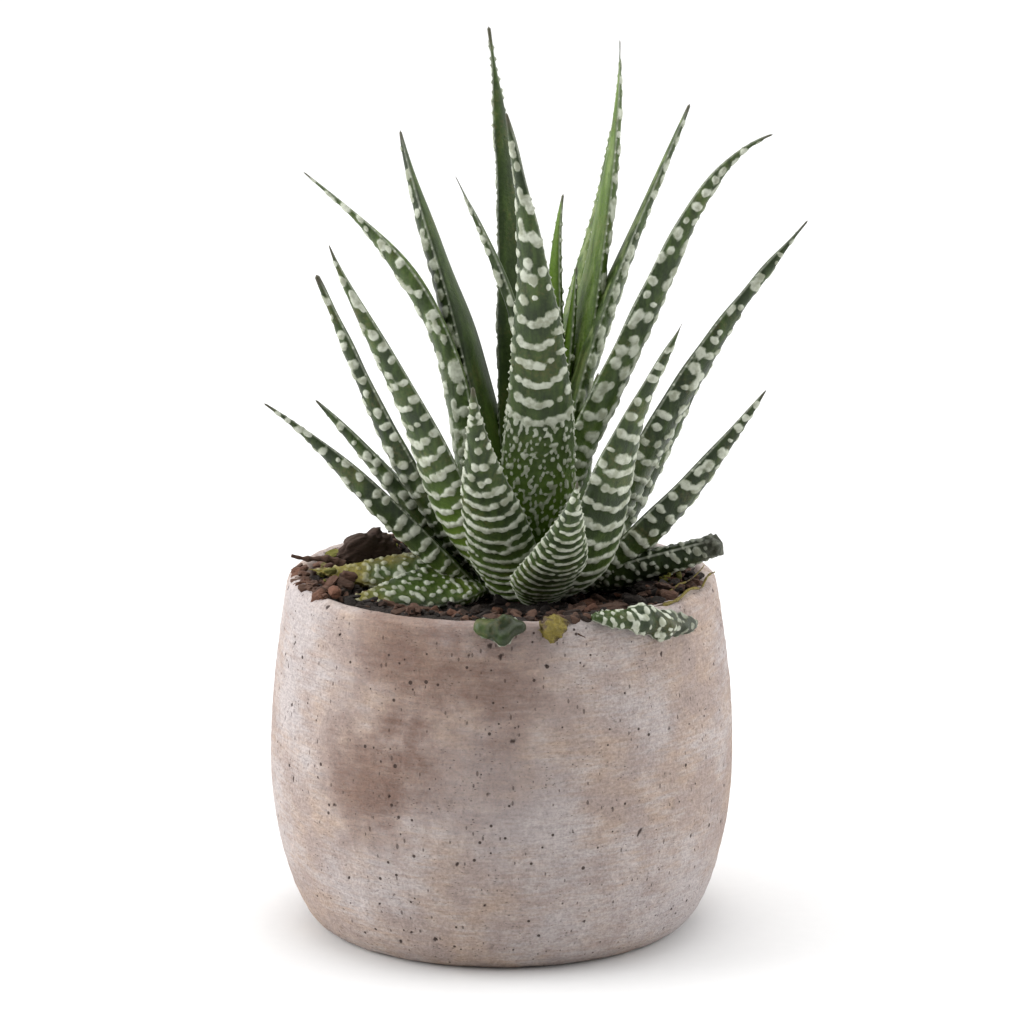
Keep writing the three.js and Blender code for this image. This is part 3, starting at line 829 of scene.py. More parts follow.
def build_fallen(fallen, settings, material, seed):
    """A leaf piece that lies along the rim's shoulder."""
    pot = bpy.context.scene.haworthia_pot
    neck, wall = pot.neck_radius / MM, pot.wall / MM
    rim_round = wall / 2
    rim_centre = pot.rim_height / MM - rim_round
    rows = 60
    share = np.linspace(0, 1, rows)
    azimuth = np.radians(mix(fallen.start, fallen.end, share))
    height = mix(fallen.rise[0], fallen.rise[1], share)
    slope = np.arctan2(np.maximum(height, 0), rim_round)
    flat = placed(azimuth, 1, 0)
    upward = np.array([0, 0, 1])
    outward = flat * np.cos(slope)[:, None] + upward * np.sin(slope)[:, None]
    across = flat * np.sin(slope)[:, None] - upward * np.cos(slope)[:, None]
    centre = flat * (neck - rim_round) + upward * (rim_centre + np.minimum(height, 0))[:, None]
    centre = centre + outward * (rim_round + fallen.thick / 2)
    fullness = mix(0.12, 1, np.sin(math.pi * share) ** 0.75)
    outer, inner = 26, 14
    rings = section_rings(centre, across, outward, fallen.width * fullness,
                          fallen.thick * fullness, outer, inner)
    crumple = (waves(rings, 5, seed) + 0.4 * waves(rings, 2.2, seed + 9)) * fallen.crumple
    rings += ring_normals(rings) * crumple[..., None]
    length = math.radians(fallen.end - fallen.start) * neck
    marking = MARKINGS.get(fallen.marking)
    rings, shows = leaf_relief(rings, length, 1, marking, outer, settings, seed)
    finish_leaf(fallen, rings, centre[0], centre[-1], shows, FALLEN_TINT, material)


def leaf_finish(name, settings, young_and_backlit):
    """Waxy green skin with chalky tubercles, pale margins and a dry tip. young_and_backlit lifts
    the whole skin towards fresh green: the young leaves' own colour, with painted glow of their
    backlit translucency.
    """
    finish = Finish(name)
    field, share, inner, margin = finish.channels("skin")
    light, warm, cut, mossy = finish.channels("tint")
    fine = finish.noise(1300, 3)
    patches = finish.noise(110, 3)
    streaks = finish.noise(640, 3, vector=finish.stretch(finish.place, 1, 1, 0.08))
    brightness = light * 0.9 + (patches - 0.5) * 1.1 + (streaks - 0.5) * 1.3 + inner * light * 0.4
    body = finish.blend(brightness.step(-0.1, 1.1), settings.deep_green, settings.mid_green)
    # Inner faces of warm leaves go fresh green, and young_and_backlit lifts whole young leaves to
    # it: their own colour, with painted backlit glow
    body = finish.blend((inner * warm * 0.8 + young_and_backlit).step(0, 1.3), body, settings.fresh_green)
    ribbed = inner.step(0.2, 0.8) * light.step(0.4, 0.55)
    body = finish.blend(ribbed * streaks.step(0.48, 0.60) * 0.7, body, settings.pale_stripe)
    body = finish.blend(ribbed * (0.46 - streaks).step(0, 0.10) * 0.6, body, settings.deep_green)
    rooting = (0.42 - share).step(0, 0.32) * (warm * 1.1 + 0.1) * (patches + 0.3)
    body = finish.blend(rooting, body, settings.pale_base)
    body = finish.blend((patches * 0.7 + fine * 0.5).step(0.62, 0.80) * 0.3, body, settings.russet)
    body = finish.shade(body, 0.62 + fine * 0.76)
    edge = (fine - 0.5) * 0.20
    white = (field + edge).step(0.44, 0.60)
    grey = finish.noise(480, 4)
    chalk = finish.blend(grey.step(0.36, 0.60), settings.dull_chalk, settings.chalk)
    chalk = finish.blend((0.64 - field).step(0, 0.16) * 0.45, chalk, settings.mid_green)
    colour = finish.blend(white * (0.72 + patches * 0.36), body, chalk)
    colour = finish.blend(margin.step(0.35, 1) * (cut * 0.3 + 0.3), colour, settings.chalk)
    dryness = (share + (patches - 0.5) * 0.04).step(0.955, 0.99)
    colour = finish.blend(dryness * 0.85, colour, settings.dry_tip)
    colour = finish.blend(cut * share.step(0.58, 0.72) * 0.8, colour, settings.cut_end)
    moss = (mossy * share + (patches - 0.5) * 0.9).step(0.35, 0.75)
    colour = finish.blend(moss * mossy * 0.8, colour, finish.shade(settings.dried, 0.5 + fine))
    roughness = 0.42 + white * 0.22 + (fine - 0.5) * 0.2
    normal = finish.bump(finish.noise(2600, 2) * 0.6 + streaks * 0.7 + fine * 0.5, 0.18, 0.7)
    return finish.surface({"IOR": 1.42, "Specular IOR Level": 0.4}, base_color=colour,
                          roughness=roughness, normal=normal)


def dried_finish(name, settings):
    """Yellow leaf bits, dry and mottled with green."""
    finish = Finish(name)
    mottle = finish.noise(260, 4)
    fine = finish.noise(1500, 3)
    colour = finish.blend(mottle.step(0.50, 0.62), settings.dried, settings.russet)
    colour = finish.shade(colour, 0.2 + fine * 0.8)
    normal = finish.bump(fine + mottle, 0.8, 0.8)
    return finish.surface({}, base_color=colour, roughness=0.6 + mottle * 0.2, normal=normal)


def stem_finish(settings):
    """Pale fibrous stem between the leaf bases."""
    finish = Finish("fibrous_stem")
    fibre = finish.noise(600, 4, 0.6, finish.stretch(finish.place, 1, 1, 0.3))
    colour = finish.blend(fibre.step(0.35, 0.65), settings.pale_base, settings.dry_tip)
    colour = finish.shade(colour, 0.5 + fibre * 0.6)
    return finish.surface({}, base_color=colour, roughness=0.7 + fibre * 0.2,
                          normal=finish.bump(fibre, 0.6, 0.7))


# Pot

# The belly's roundness below its waist, as in the frame, how rings crowd towards the foot, and
# how deep a pit is
BELLY_ROUNDNESS = 1.8
RING_CROWDING = 1.8
PIT_DEPTH = 0.5

# Where soil dirties the pot: the heights of the wall inside the mouth, and the reach and the
# heights of the rim's inner edge, each from clean to dirty
SOILED_WALL = (81.5, 84)
SOILED_EDGE = (49, 46)
SOILED_EDGE_HEIGHTS = (70, 72)


def pot_side(settings, inset, low, heights):
    """Radii of the pot's outer side, or of a surface set in from it, at these heights."""
    foot, belly = settings.foot_radius / MM, settings.belly_radius / MM
    neck, waist = settings.neck_radius / MM, settings.belly_height / MM
    top = (settings.rim_height - settings.wall / 2) / MM
    rise = np.clip((heights - low) / (waist - low), 0, 1)
    swell = (1 - (1 - rise) ** BELLY_ROUNDNESS) ** (1 / BELLY_ROUNDNESS)
    climb = np.clip((heights - waist) / (top - waist), 0, 1)
    upper = mix(belly, neck, 1 - np.cos(climb * math.pi / 2))
    return np.where(heights <= waist, mix(foot, belly, swell), upper) - inset


def pot_profile(settings):
    """The pot's outline from the middle of its foot, up the outside, over the rim and down.
    Returns radii, heights and how many of them lie on the outside."""
    wall, floor = settings.wall / MM, settings.floor / MM
    waist = settings.belly_height / MM
    neck = settings.neck_radius / MM
    top = (settings.rim_height - settings.wall / 2) / MM
    foot = np.linspace(2, settings.foot_radius / MM, 12)
    low = waist * np.linspace(0, 1, 60)[1:] ** RING_CROWDING
    high = np.linspace(waist, top, 54)[1:]
    side = np.concatenate([low, high])
    turn = np.linspace(0, math.pi, 17)[1:-1]
    inner = np.linspace(top, floor, 46)
    radii = np.concatenate([
        foot,
        pot_side(settings, 0, 0, side),
        neck - wall / 2 + wall / 2 * np.cos(turn),
        pot_side(settings, wall, floor, inner),
    ])
    heights = np.concatenate([foot * 0, side, top + wall / 2 * np.sin(turn), inner])
    return radii, heights, len(foot) + len(side) + len(turn) + 1


class Pits(NamedTuple):
    """A scatter of round pits: how many, their radii, the heights between which they lie, and
    how far out the side must reach to hold one."""
    count: int
    radii: tuple
    heights: tuple
    least_reach: float


PITS = [Pits(160, (0.6, 1.0), (3, 80), 41), Pits(10, (0.6, 1.1), (81, 83.5), 46)]


def pit_marks(points, wear, pits, rng):
    """Marks pits at random places. wear takes how deep in a pit each point lies."""
    side = points[:, 0]
    for _ in range(pits.count):
        azimuth = rng.uniform(0, 2 * math.pi)
        height = rng.uniform(*pits.heights)
        away = np.where(side[:, 0] > pits.least_reach, np.abs(side[:, 2] - height), np.inf)
        reach = side[np.argmin(away), 0]
        spot = placed(azimuth, reach, height)
        radius = rng.uniform(*pits.radii)
        near = np.abs(side[:, 2] - height) < radius * 1.8
        squash = np.array([1, 1, rng.uniform(0.5, 1.6)])
        distance = np.linalg.norm((points[near] - spot) / squash, axis=2)
        wear[near] = np.maximum(wear[near], np.clip(1 - distance / radius, 0, 1))


def build_pot(settings):
    """The fired-clay pot, with an uneven thrown side and pits."""
    sides = 440
    radii, heights, outside_count = pot_profile(settings)
    rings = placed(all_round(sides), radii[:, None], heights[:, None])
    normals = ring_normals(rings)
    outside = np.arange(len(radii)) < outside_count
    on_side = (smoothstep(heights, 0.5, 6) * outside)[:, None]
    rng = np.random.default_rng(PIT_SEED)
    uneven = settings.unevenness / MM
    swell = waves(rings, 45, 1) * 0.6 + waves(rings, 16, 2) * 0.25
    turning = np.sin(heights * 1.9 + 2 * np.sin(heights * 0.23))[:, None]
    turning = turning * (0.5 + 0.5 * waves(rings, 30, 3)) * 0.14
    wear = np.zeros(rings.shape[:2])
    for pits in PITS:
        pit_marks(rings, wear, pits, rng)
    move = (swell + turning) * uneven * on_side
    move -= smoothstep(wear, 0.1, 0.9) * PIT_DEPTH * outside[:, None]
    move += waves(rings, 2.6, 4) * 0.06 + waves(rings, 6, 5) * 0.06
    move[heights <= 0.01] = 0
    rings = rings + normals * move[..., None]
    points, faces, bake_map = sleeve(rings, (0, 0, 0), (0, 0, settings.floor / MM))
    wall_dirt = smoothstep(heights, *SOILED_WALL) * ~outside
    edge_dirt = smoothstep(radii, *SOILED_EDGE) * smoothstep(heights, *SOILED_EDGE_HEIGHTS)
    shows = np.zeros(rings.shape[:2] + (4,))
    shows[..., 0] = wear
    shows[..., 1] = (wall_dirt + edge_dirt)[:, None]
    attributes = {"wear": with_end_points(shows)}
    material = pot_finish(settings)
    finish_piece("pot_body", points, faces, material, ["pot"], attributes, bake_map)


def scattered_dots(finish, scale, size, place=None):
    """Small scattered dots, about one in each cell; size is their radius as a share of a cell."""
    near = finish.cells(scale, place)
    odds = finish.noise(scale * 0.37, 1)
    return (odds * 2 * size - near - size * 0.45).step(0, size * 0.2)


# Damp stains and painted shade on the pot: middle, reach and strength. The first is a damp stain,
# the second a damp patch deepened with painted shade below the rim, the third painted shade on the
# upper front and the fourth painted shade over the front middle, where the side-lit pot is darker.
STAINS_AND_SHADE = [
    ((-31, -45, 44), 23, 1.0),
    ((-23, -46, 76), 28, 0.9),
    ((2, -52, 80), 26, 0.6),
    ((-4, -54, 50), 34, 0.55),
]


def stain_and_shade_mask(finish, centre, size, ragged):
    """1 at the middle of a damp stain, and likewise of a patch of painted shade, fading to 0 at its
    reach, both in millimetres. ragged moves its edge in and out, in metres."""
    return 1 - (finish.distance(centre) + ragged).step(0, size * MM)


def pot_finish(settings):
    """Weathered clay: pale bloom, warm patches, damp stains, painted shade on the front, turning
    streaks and dark pores.
    """
    finish = Finish("weathered_clay")
    wear, soiled, _, _ = finish.channels("wear")
    clouds = finish.noise(30, 4, 0.55, finish.stretch(finish.place, 1, 1, 1.3))
    patches = finish.noise(85, 5, 0.62, finish.stretch(finish.place, 1, 1, 1.3))
    streaks = finish.noise(120, 4, 0.6, finish.stretch(finish.place, 1, 1, 7))
    scratches = finish.noise(420, 4, 0.65, finish.stretch(finish.place, 1, 1, 5))
    upright = finish.noise(420, 3, 0.6, finish.stretch(finish.place, 1, 1, 0.25))
    grain = finish.noise(1500, 4, 0.6)
    colour = finish.blend(patches.step(0.38, 0.62), settings.clay, settings.blush)
    bloom = (clouds * 0.7 + streaks * 0.35 + patches * 0.35 - 0.18).step(0.42, 0.66)
    colour = finish.blend(bloom * 0.8, colour, settings.bloom)
    ragged = (patches - 0.5) * 0.022
    # Damp stains, with painted shade on the upper front and over the front middle, all laid in the
    # stain colour
    stain_and_shade_amount = sum(stain_and_shade_mask(finish, centre, size, ragged) * share
                  for centre, size, share in STAINS_AND_SHADE)
    stain_and_shade_amount = stain_and_shade_amount * (0.15 + patches * 0.6 + scratches * 0.8) + (streaks - 0.5) * 0.7
    stain_and_shade_amount = stain_and_shade_amount + (grain - 0.5) * 0.4
    colour = finish.blend(stain_and_shade_amount.step(0.08, 0.95) * 0.85, colour, settings.stain_and_shade_tone)
    flecks = finish.noise(640, 3, 0.7)
    mottled = grain.step(0.34, 0.66) * 0.24 + scratches.step(0.38, 0.60) * patches * 0.26
    mottled = mottled + flecks.step(0.30, 0.44) * 0.16 + flecks.step(0.58, 0.66) * 0.10 + 0.60
    mottled = mottled + upright.step(0.56, 0.66) * 0.06
    colour = finish.shade(colour, mottled)
    lying = finish.stretch(finish.place, 1, 1, 2.4)
    standing = finish.stretch(finish.place, 1, 1, 0.45)
    pores = scattered_dots(finish, 300, 0.17) * 0.9 + scattered_dots(finish, 620, 0.21, lying) * 0.6
    pores = pores + scattered_dots(finish, 560, 0.20, standing) * 0.6
    pores = pores + wear.step(0.3, 0.6) * 0.9
    colour = finish.blend(pores, colour, settings.pores)
    dusted = (soiled + (patches - 0.5) * 1.2).step(0.45, 1.0)
    colour = finish.blend(dusted * 0.55, colour, settings.pores)
    height = grain * 0.5 + scratches * 0.6 + patches * 0.5 - pores * 0.8 + upright * 0.2
    normal = finish.bump(height, 0.7, 0.8)
    return finish.surface({"Specular IOR Level": 0.2}, base_color=colour,
                          roughness=0.84 + grain * 0.12, normal=normal)


# Soil and bark

# How far the soil's surface lies below the frame's, how thick its bed is made, and the reach
# between which it heaps up
SOIL_SINK = 0.2
SOIL_BED = 8.0
HEAP_REACH = (26, 42)


def soil_level(x, y, settings):
    """Height of the soil's surface, heaped towards the rim."""
    reach = np.hypot(x, y)
    spots = np.stack([x, y, np.zeros_like(x)], axis=-1)
    lumps = waves(spots, 17, 21) * 0.6 + waves(spots, 5, 22) * 0.45
    return SOIL_TOP - SOIL_SINK + lumps + settings.heap / MM * smoothstep(reach, *HEAP_REACH)


def build_soil(settings):
    """The soil bed, as a lumpy closed disc that fills the pot's mouth."""
    radius = SOIL_BOX[1].x / MM
    bottom = SOIL_TOP - SOIL_BED
    sides, count = 200, 64
    reach = np.concatenate([[radius * 0.96, radius * 0.985, radius * 0.985],
                            np.linspace(radius * 0.97, 0.6, count)])
    rings = placed(all_round(sides), reach[:, None], 0)
    rings[..., 2] = soil_level(rings[..., 0], rings[..., 1], settings)
    rings[3:, :, 2] += waves(rings[3:], 2, 23) * 0.28
    rings[0, :, 2] = bottom
    rings[1, :, 2] = bottom + 0.5
    rings[2, :, 2] -= 0.8
    end = np.array([0, 0, rings[-1, :, 2].mean()])
    points, faces, bake_map = sleeve(rings, np.array([0, 0, bottom]), end)
    finish_piece("soil_bed", points, faces, earth_finish(settings), ["potting_soil"],
                 bake_map=bake_map)


def rough_ball(subdivisions):
    """Points and faces of a ball of nearly equal triangles."""
    work = bmesh.new()
    bmesh.ops.create_icosphere(work, subdivisions=subdivisions, radius=1)
    points = np.array([vertex.co[:] for vertex in work.verts])
    faces = [[vertex.index for vertex in face.verts] for face in work.faces]
    work.free()
    return points, faces


def turned(points, turn, tilt, roll=0):
    """Points rolled about X, tilted about Y, then turned about Z, by degrees."""
    for angle, first, second in ((roll, 1, 2), (tilt, 2, 0), (turn, 0, 1)):
        c, s = math.cos(math.radians(angle)), math.sin(math.radians(angle))
        moved = points.copy()
        moved[:, first] = points[:, first] * c - points[:, second] * s
        moved[:, second] = points[:, first] * s + points[:, second] * c
        points = moved
    return points


def bark_shape(ball, half, seed):
    """A split bit of bark: a squared-off ball with layers along its length."""
    squared = np.sign(ball) * np.abs(ball) ** 0.62
    squared = squared / np.max(np.abs(squared))
    broken = 1 + 0.20 * waves(ball, 1.3, seed) + 0.10 * waves(ball, 0.4, seed + 1)
    points = squared * broken[:, None] * np.array(half) * 0.92
    layers = np.sin(points[:, 2] * 5 + 2 * waves(points, 5, seed + 2))
    points[:, :2] *= (1 + 0.05 * layers)[:, None]
    return points


class Litter(NamedTuple):
    """A scatter of crumbs: how many, the headings and the reach between which they lie, how
    high they stand on the soil, and their kind, from earth through bark and red bark to moss."""
    count: int
    headings: tuple
    reach: tuple
    rise: tuple
    kind: tuple


LITTER = [
    Litter(1000, (0, 360), (0, 44.2), (-0.2, 1), (0, 0.93)),
    Litter(60, (176, 212), (45, 48.5), (1.4, 2), (0.6, 0.95)),
    Litter(24, (176, 206), (36, 43), (1.0, 3.2), (0.7, 1.25)),
    Litter(90, (130, 178), (34, 43.5), (0.5, 4.2), (0.2, 1.1)),
    Litter(80, (-42, 16), (38, 44), (0.5, 3.2), (0.1, 0.9)),
    Litter(30, (-48, -2), (44, 47.5), (1.2, 1.8), (0.3, 0.7)),
    Litter(14, (-78, -66), (45.5, 49), (1.2, 1.8), (0.3, 0.7)),
    Litter(14, (-20, 12), (38, 43), (2, 4), (1, 1.3)),
]


def build_crumbs(settings):
    """Bark crumbs scattered over the soil, as one piece."""
    rng = np.random.default_rng(CRUMB_SEED)
    ball, ball_faces = rough_ball(2)
    radius = SOIL_BOX[1].x / MM
    points, faces, shows = [], [], []
    crumbs = [litter for litter in LITTER for _ in range(round(litter.count * settings.crumbs))]
    for index, litter in enumerate(crumbs):
        size = settings.crumb_size / MM * rng.uniform(0.25, 1) ** 1.6
        spread = rng.uniform(0, 1) ** 0.5
        reach = mix(*litter.reach, spread)
        reach = min(reach, radius - size - 0.3) if litter.reach[1] < MOUTH_RADIUS else reach
        azimuth = math.radians(rng.uniform(*litter.headings))
        half = size * np.array([1, rng.uniform(0.4, 0.8), rng.uniform(0.25, 0.6)])
        chip = turned(bark_shape(ball, half, index), rng.uniform(0, 360), rng.uniform(-30, 30),
                      rng.uniform(-30, 30))
        spot = placed(azimuth, reach, 0)
        spot[2] = soil_level(spot[0], spot[1], settings) + rng.uniform(*litter.rise)
        chip += spot
        faces += [[corner + len(ball) * index for corner in face] for face in ball_faces]
        points.append(chip)
        shade = [rng.uniform(*litter.kind), rng.random(), 0, 0]
        shows.append(np.tile(shade, (len(ball), 1)))
    attributes = {"crumb": np.vstack(shows)}
    finish_piece("bark_crumbs", np.vstack(points), faces, bark_finish("bark_crumbs", settings),
                 attributes=attributes, smooth=False)


def build_chip(chip, material, seed):
    """One larger loose bit on the soil."""
    ball, faces = rough_ball(5)
    points = turned(bark_shape(ball, chip.half, seed), chip.turn, chip.tilt)
    reach = chip.reach * MOUTH_RADIUS
    points = points + placed(math.radians(chip.heading), reach, SOIL_TOP + chip.height)
    rng = np.random.default_rng(seed)
    attributes = {"crumb": np.tile([rng.random() * 0.6, rng.random(), 0, 0], (len(points), 1))}
    finish_piece(chip.name + "_bit", points, faces, material, [chip.name], attributes)


class Twig(NamedTuple):
    """A thin dry stalk: the heading, reach and height of each end, its radius and its seed."""
    name: str
    start: tuple
    end: tuple
    radius: float
    seed: int


TWIGS = {
    "bark": [
        Twig("dry_root_front", (-75, 46.5, 84.4), (-68, 51.8, 80), 0.3, 82),
        Twig("dry_tip_left", (183, 38, 86), (184, 49.5, 88.5), 0.9, 88),
    ],
    "dried_leaf": [
        Twig("dry_stalk_right", (-46, 48.4, 83.8), (-8, 49.8, 85.8), 0.45, 70),
        Twig("dry_stalk_right_thin", (-30, 44.5, 84.2), (-6, 47.5, 86.8), 0.28, 76),
    ],
}
TWIG_CRUMB = (0.5, 0.7, 0, 0)


def build_twig(twig, material):
    """One thin dry stalk that lies over the rim."""
    share = np.linspace(0, 1, 60)
    heading, reach, height = (mix(low, high, share) for low, high in zip(twig.start, twig.end))
    path = placed(np.radians(heading), reach, height)
    path += np.stack([waves(path, 9, twig.seed + axis) for axis in range(3)], axis=1) * 0.7
    along = unit(np.gradient(path, axis=0))
    across = unit(np.cross(along, [0, 0, 1]))
    under = np.cross(across, along)
    around = all_round(14)
    girth = twig.radius * (1.1 - 0.7 * share) * (1 + 0.25 * waves(path, 2, twig.seed + 5))
    ring = across[:, None] * np.cos(around)[:, None] + under[:, None] * np.sin(around)[:, None]
    rings = path[:, None] + ring * girth[:, None, None]
    points, faces, bake_map = sleeve(rings, path[0], path[-1])
    attributes = {"crumb": np.tile(TWIG_CRUMB, (len(points), 1))}
    finish_piece(twig.name, points, faces, material, attributes=attributes,
                 bake_map=bake_map)


def earth_finish(settings):
    """Dark fine mix."""
    finish = Finish("fine_earth")
    lumps = finish.noise(500, 4)
    colour = finish.shade(settings.earth, 0.5 + lumps)
    colour = finish.blend(finish.noise(160, 3).step(0.55, 0.7) * 0.5, colour, settings.bark)
    normal = finish.bump(lumps + finish.noise(1500, 2) * 0.5, 1.2, 0.9)
    return finish.surface({}, base_color=colour, roughness=0.95, normal=normal)


def bark_finish(name, settings):
    """Brown bark, fresh red bark and a little moss, with a fibrous grain."""
    finish = Finish(name)
    kind, shade, _, _ = finish.channels("crumb")
    fibre = finish.noise(700, 4, 0.6, finish.stretch(finish.place, 1, 1, 4))
    colour = finish.blend(kind.step(0.35, 0.55), settings.earth, settings.bark)
    colour = finish.blend(kind.step(0.80, 0.92), colour, settings.red_bark)
    mossy = (kind + finish.noise(200, 2) * 0.1).step(1.0, 1.06)
    colour = finish.blend(mossy, colour, settings.moss)
    colour = finish.shade(colour, 0.35 + shade * 0.5 + fibre * 0.8)
    normal = finish.bump(fibre, 0.8, 0.8)
    return finish.surface({}, base_color=colour, roughness=0.80 + fibre * 0.15, normal=normal)


# Stage, in metres: how far the card stands behind the camera, its colour, where the lights
# aim, and how far the camera stands to the right of the pot's middle
CARD_GAP = 0.15
CARD_BLACK = (0.012, 0.012, 0.012)
LIGHT_AIM = (0, 0, 0.09)
CAMERA_SHIFT = 0.0025


def build_sheet(name, corners, material):
    """A flat sheet of the stage through corners in metres."""
    mesh = bpy.data.meshes.new(name)
    mesh.from_pydata(corners, [], [list(range(len(corners)))])
    mesh.materials.append(material)
    sheet = bpy.data.objects.new(name, mesh)
    bpy.context.scene.collection.objects.link(sheet)
    return sheet


def build_floor(settings):
    """A large round pale floor, a hair below the pot's foot. Its paper is painted greyer near the
    pot, where the lamps light it most, and white farther out: painted light that evens out the
    floor's brightness.
    """
    reach, depth, sides = 6.0, 0.0001, 64
    corners = placed(all_round(sides), reach, -depth).tolist()
    finish = Finish("pale_paper")
    tooth = finish.noise(300, 2)
    # Painted light: the paper whitens away from the pot, making up for the lamps' light near it
    far = finish.distance((0, 0, 0)).step(0.15, 1.3)
    colour = finish.blend(far, settings.paper, settings.far_paper_painted_light)
    colour = finish.shade(colour, 0.985 + tooth * 0.03)
    paper = finish.surface({"Specular IOR Level": 0.0}, base_color=colour,
                           roughness=0.95 + tooth * 0.04)
    build_sheet("paper_floor", corners, paper)


def build_shade(settings):
    """A black card behind the camera, which keeps the front of the plant from going flat."""
    reach = settings.shade_size / 2
    place = -settings.camera_distance - CARD_GAP
    corners = [(-reach, place, 0), (reach, place, 0), (reach, place, 2 * reach),
               (-reach, place, 2 * reach)]
    finish = Finish("black_card")
    tooth = finish.noise(60, 2)
    colour = finish.shade(CARD_BLACK, 0.8 + tooth * 0.4)
    black = finish.surface({"Specular IOR Level": 0.0}, base_color=colour,
                           roughness=0.9 + tooth * 0.1)
    build_sheet("black_card", corners, black).visible_camera = False


def build_light(name, place, size, power):
    """A soft round light at a place in metres that faces the plant."""
    data = bpy.data.lights.new(name, "AREA")
    data.shape = "DISK"
    data.size = size
    data.energy = power
    light = bpy.data.objects.new(name, data)
    light.location = place
    aim = Vector(LIGHT_AIM) - Vector(place)
    light.rotation_euler = aim.to_track_quat("-Z", "Y").to_euler()
    bpy.context.scene.collection.objects.link(light)


def build_camera(settings):
    """The camera, level across and looking down at the plant."""
    data = bpy.data.cameras.new("front_camera")
    data.lens = settings.camera_lens
    data.sensor_width = 36
    camera = bpy.data.objects.new("front_camera", data)
    tilt = settings.camera_tilt
    camera.location = (
        CAMERA_SHIFT,
        -settings.camera_distance * math.cos(tilt),
        settings.target_height + settings.camera_distance * math.sin(tilt),
    )
    camera.rotation_euler = (math.pi / 2 - tilt, 0, 0)
    bpy.context.scene.collection.objects.link(camera)
    bpy.context.scene.camera = camera


def build_sky(settings):
    """White surroundings."""
    world = bpy.data.worlds.new("white_surroundings")
    world.use_nodes = True
    background = world.node_tree.nodes["Background"]
    background.inputs["Color"].default_value = (1, 1, 1, 1)
    background.inputs["Strength"].default_value = settings.sky
    bpy.context.scene.world = world


class HAWORTHIA_OT_pot(bpy.types.Operator):
    """Build the fired-clay pot"""
    bl_idname = "haworthia.pot"
    bl_label = "Pot"

    def execute(self, context):
        build_pot(context.scene.haworthia_pot)
        return {"FINISHED"}


class HAWORTHIA_OT_soil(bpy.types.Operator):
    """Build the soil, its bark crumbs and the loose bits on it"""
    bl_idname = "haworthia.soil"
    bl_label = "Soil and bark"

    def execute(self, context):
        settings = context.scene.haworthia_soil
        build_soil(settings)
        build_crumbs(settings)
        skins = {
            "bark": bark_finish("loose_bark", settings),
            "dried_leaf": dried_finish("dried_bit", context.scene.haworthia_leaf),
        }
        chips = {"bark": BARK_CHIPS, "dried_leaf": [DRIED_BIT]}
        for skin, material in skins.items():
            for number, chip in enumerate(chips[skin]):
                build_chip(chip, material, CHIP_SEEDS[skin] + number)
            for twig in TWIGS[skin]:
                build_twig(twig, material)
        return {"FINISHED"}


class HAWORTHIA_OT_leaves(bpy.types.Operator):
    """Build every leaf of the rosette, and finish its stem"""
    bl_idname = "haworthia.leaves"
    bl_label = "Leaves"

    def execute(self, context):
        settings = context.scene.haworthia_leaf
        skins = {
            # The bright skin's fresh green is the young leaves' colour with painted backlit glow
            "striped_leaf": leaf_finish("striped_leaf_skin", settings, 0.0),
            "bright_leaf": leaf_finish("bright_leaf_skin", settings, 0.45),
        }
        for number, leaf in enumerate(LEAVES):
            build_leaf(leaf, settings, skins[leaf.skin], LEAF_SEED + number)
        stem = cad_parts["stem_and_roots"]
        stem.data.materials.clear()
        stem.data.materials.append(stem_finish(settings))
        return {"FINISHED"}


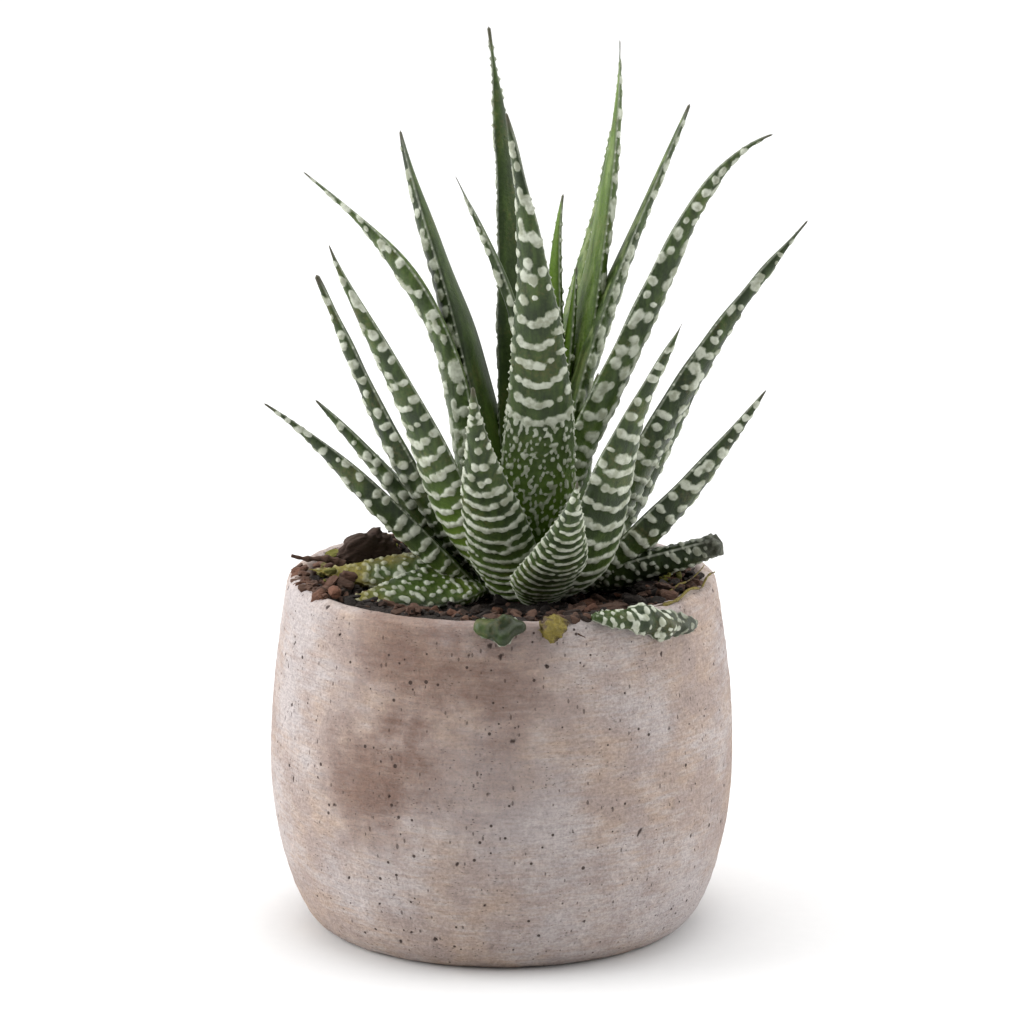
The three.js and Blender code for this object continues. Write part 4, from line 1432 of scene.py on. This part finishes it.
class HAWORTHIA_OT_fallen(bpy.types.Operator):
    """Build the leaf pieces that lie on the rim"""
    bl_idname = "haworthia.fallen"
    bl_label = "Fallen pieces"

    def execute(self, context):
        settings = context.scene.haworthia_leaf
        skins = {
            "striped_leaf": leaf_finish("fallen_leaf_skin", settings, 0.0),
            "dried_leaf": dried_finish("dried_leaf_skin", settings),
        }
        for number, fallen in enumerate(FALLEN):
            build_fallen(fallen, settings, skins[fallen.skin], FALLEN_SEED + number)
        return {"FINISHED"}


class HAWORTHIA_OT_stage(bpy.types.Operator):
    """Build the floor, the lights and the camera"""
    bl_idname = "haworthia.stage"
    bl_label = "Stage"

    def execute(self, context):
        settings = context.scene.haworthia_stage
        build_floor(settings)
        build_sky(settings)
        build_shade(settings)
        build_light("left_light", (-0.9, -0.05, 0.45), 0.8, settings.side_light)
        build_light("right_light", (0.9, 0.05, 0.4), 0.8, settings.side_light * 0.5)
        build_light("top_light", (0.0, 0.1, 1.1), 0.9, settings.side_light * 0.8)
        build_camera(settings)
        context.scene.view_settings.view_transform = "Standard"
        return {"FINISHED"}


STEPS = [HAWORTHIA_OT_pot, HAWORTHIA_OT_soil, HAWORTHIA_OT_leaves, HAWORTHIA_OT_fallen,
         HAWORTHIA_OT_stage]


class HAWORTHIA_PT_panel(bpy.types.Panel):
    """The settings of the plant, and a button for each group of pieces"""
    bl_idname = "HAWORTHIA_PT_panel"
    bl_label = "Potted Haworthia"
    bl_space_type = "VIEW_3D"
    bl_region_type = "UI"
    bl_category = "Haworthia"

    def draw(self, context):
        layout = self.layout
        for step in STEPS:
            layout.operator(step.bl_idname)
        for holder in SETTINGS:
            box = layout.box()
            group = getattr(context.scene, holder)
            for name in group.bl_rna.properties.keys():
                if name not in ("rna_type", "name"):
                    box.prop(group, name)


CLASSES = [*SETTINGS.values(), *STEPS, HAWORTHIA_PT_panel]


def register():
    """Adds the settings, the operators and the panel."""
    for item in CLASSES:
        bpy.utils.register_class(item)
    for holder, kind in SETTINGS.items():
        setattr(bpy.types.Scene, holder, bpy.props.PointerProperty(type=kind))


def unregister():
    """Takes them away again."""
    for holder in SETTINGS:
        delattr(bpy.types.Scene, holder)
    for item in reversed(CLASSES):
        bpy.utils.unregister_class(item)


def main():
    """Builds the whole scene."""
    register()
    bpy.ops.haworthia.pot()
    bpy.ops.haworthia.soil()
    bpy.ops.haworthia.leaves()
    bpy.ops.haworthia.fallen()
    bpy.ops.haworthia.stage()


if __name__ == "__main__":
    main()
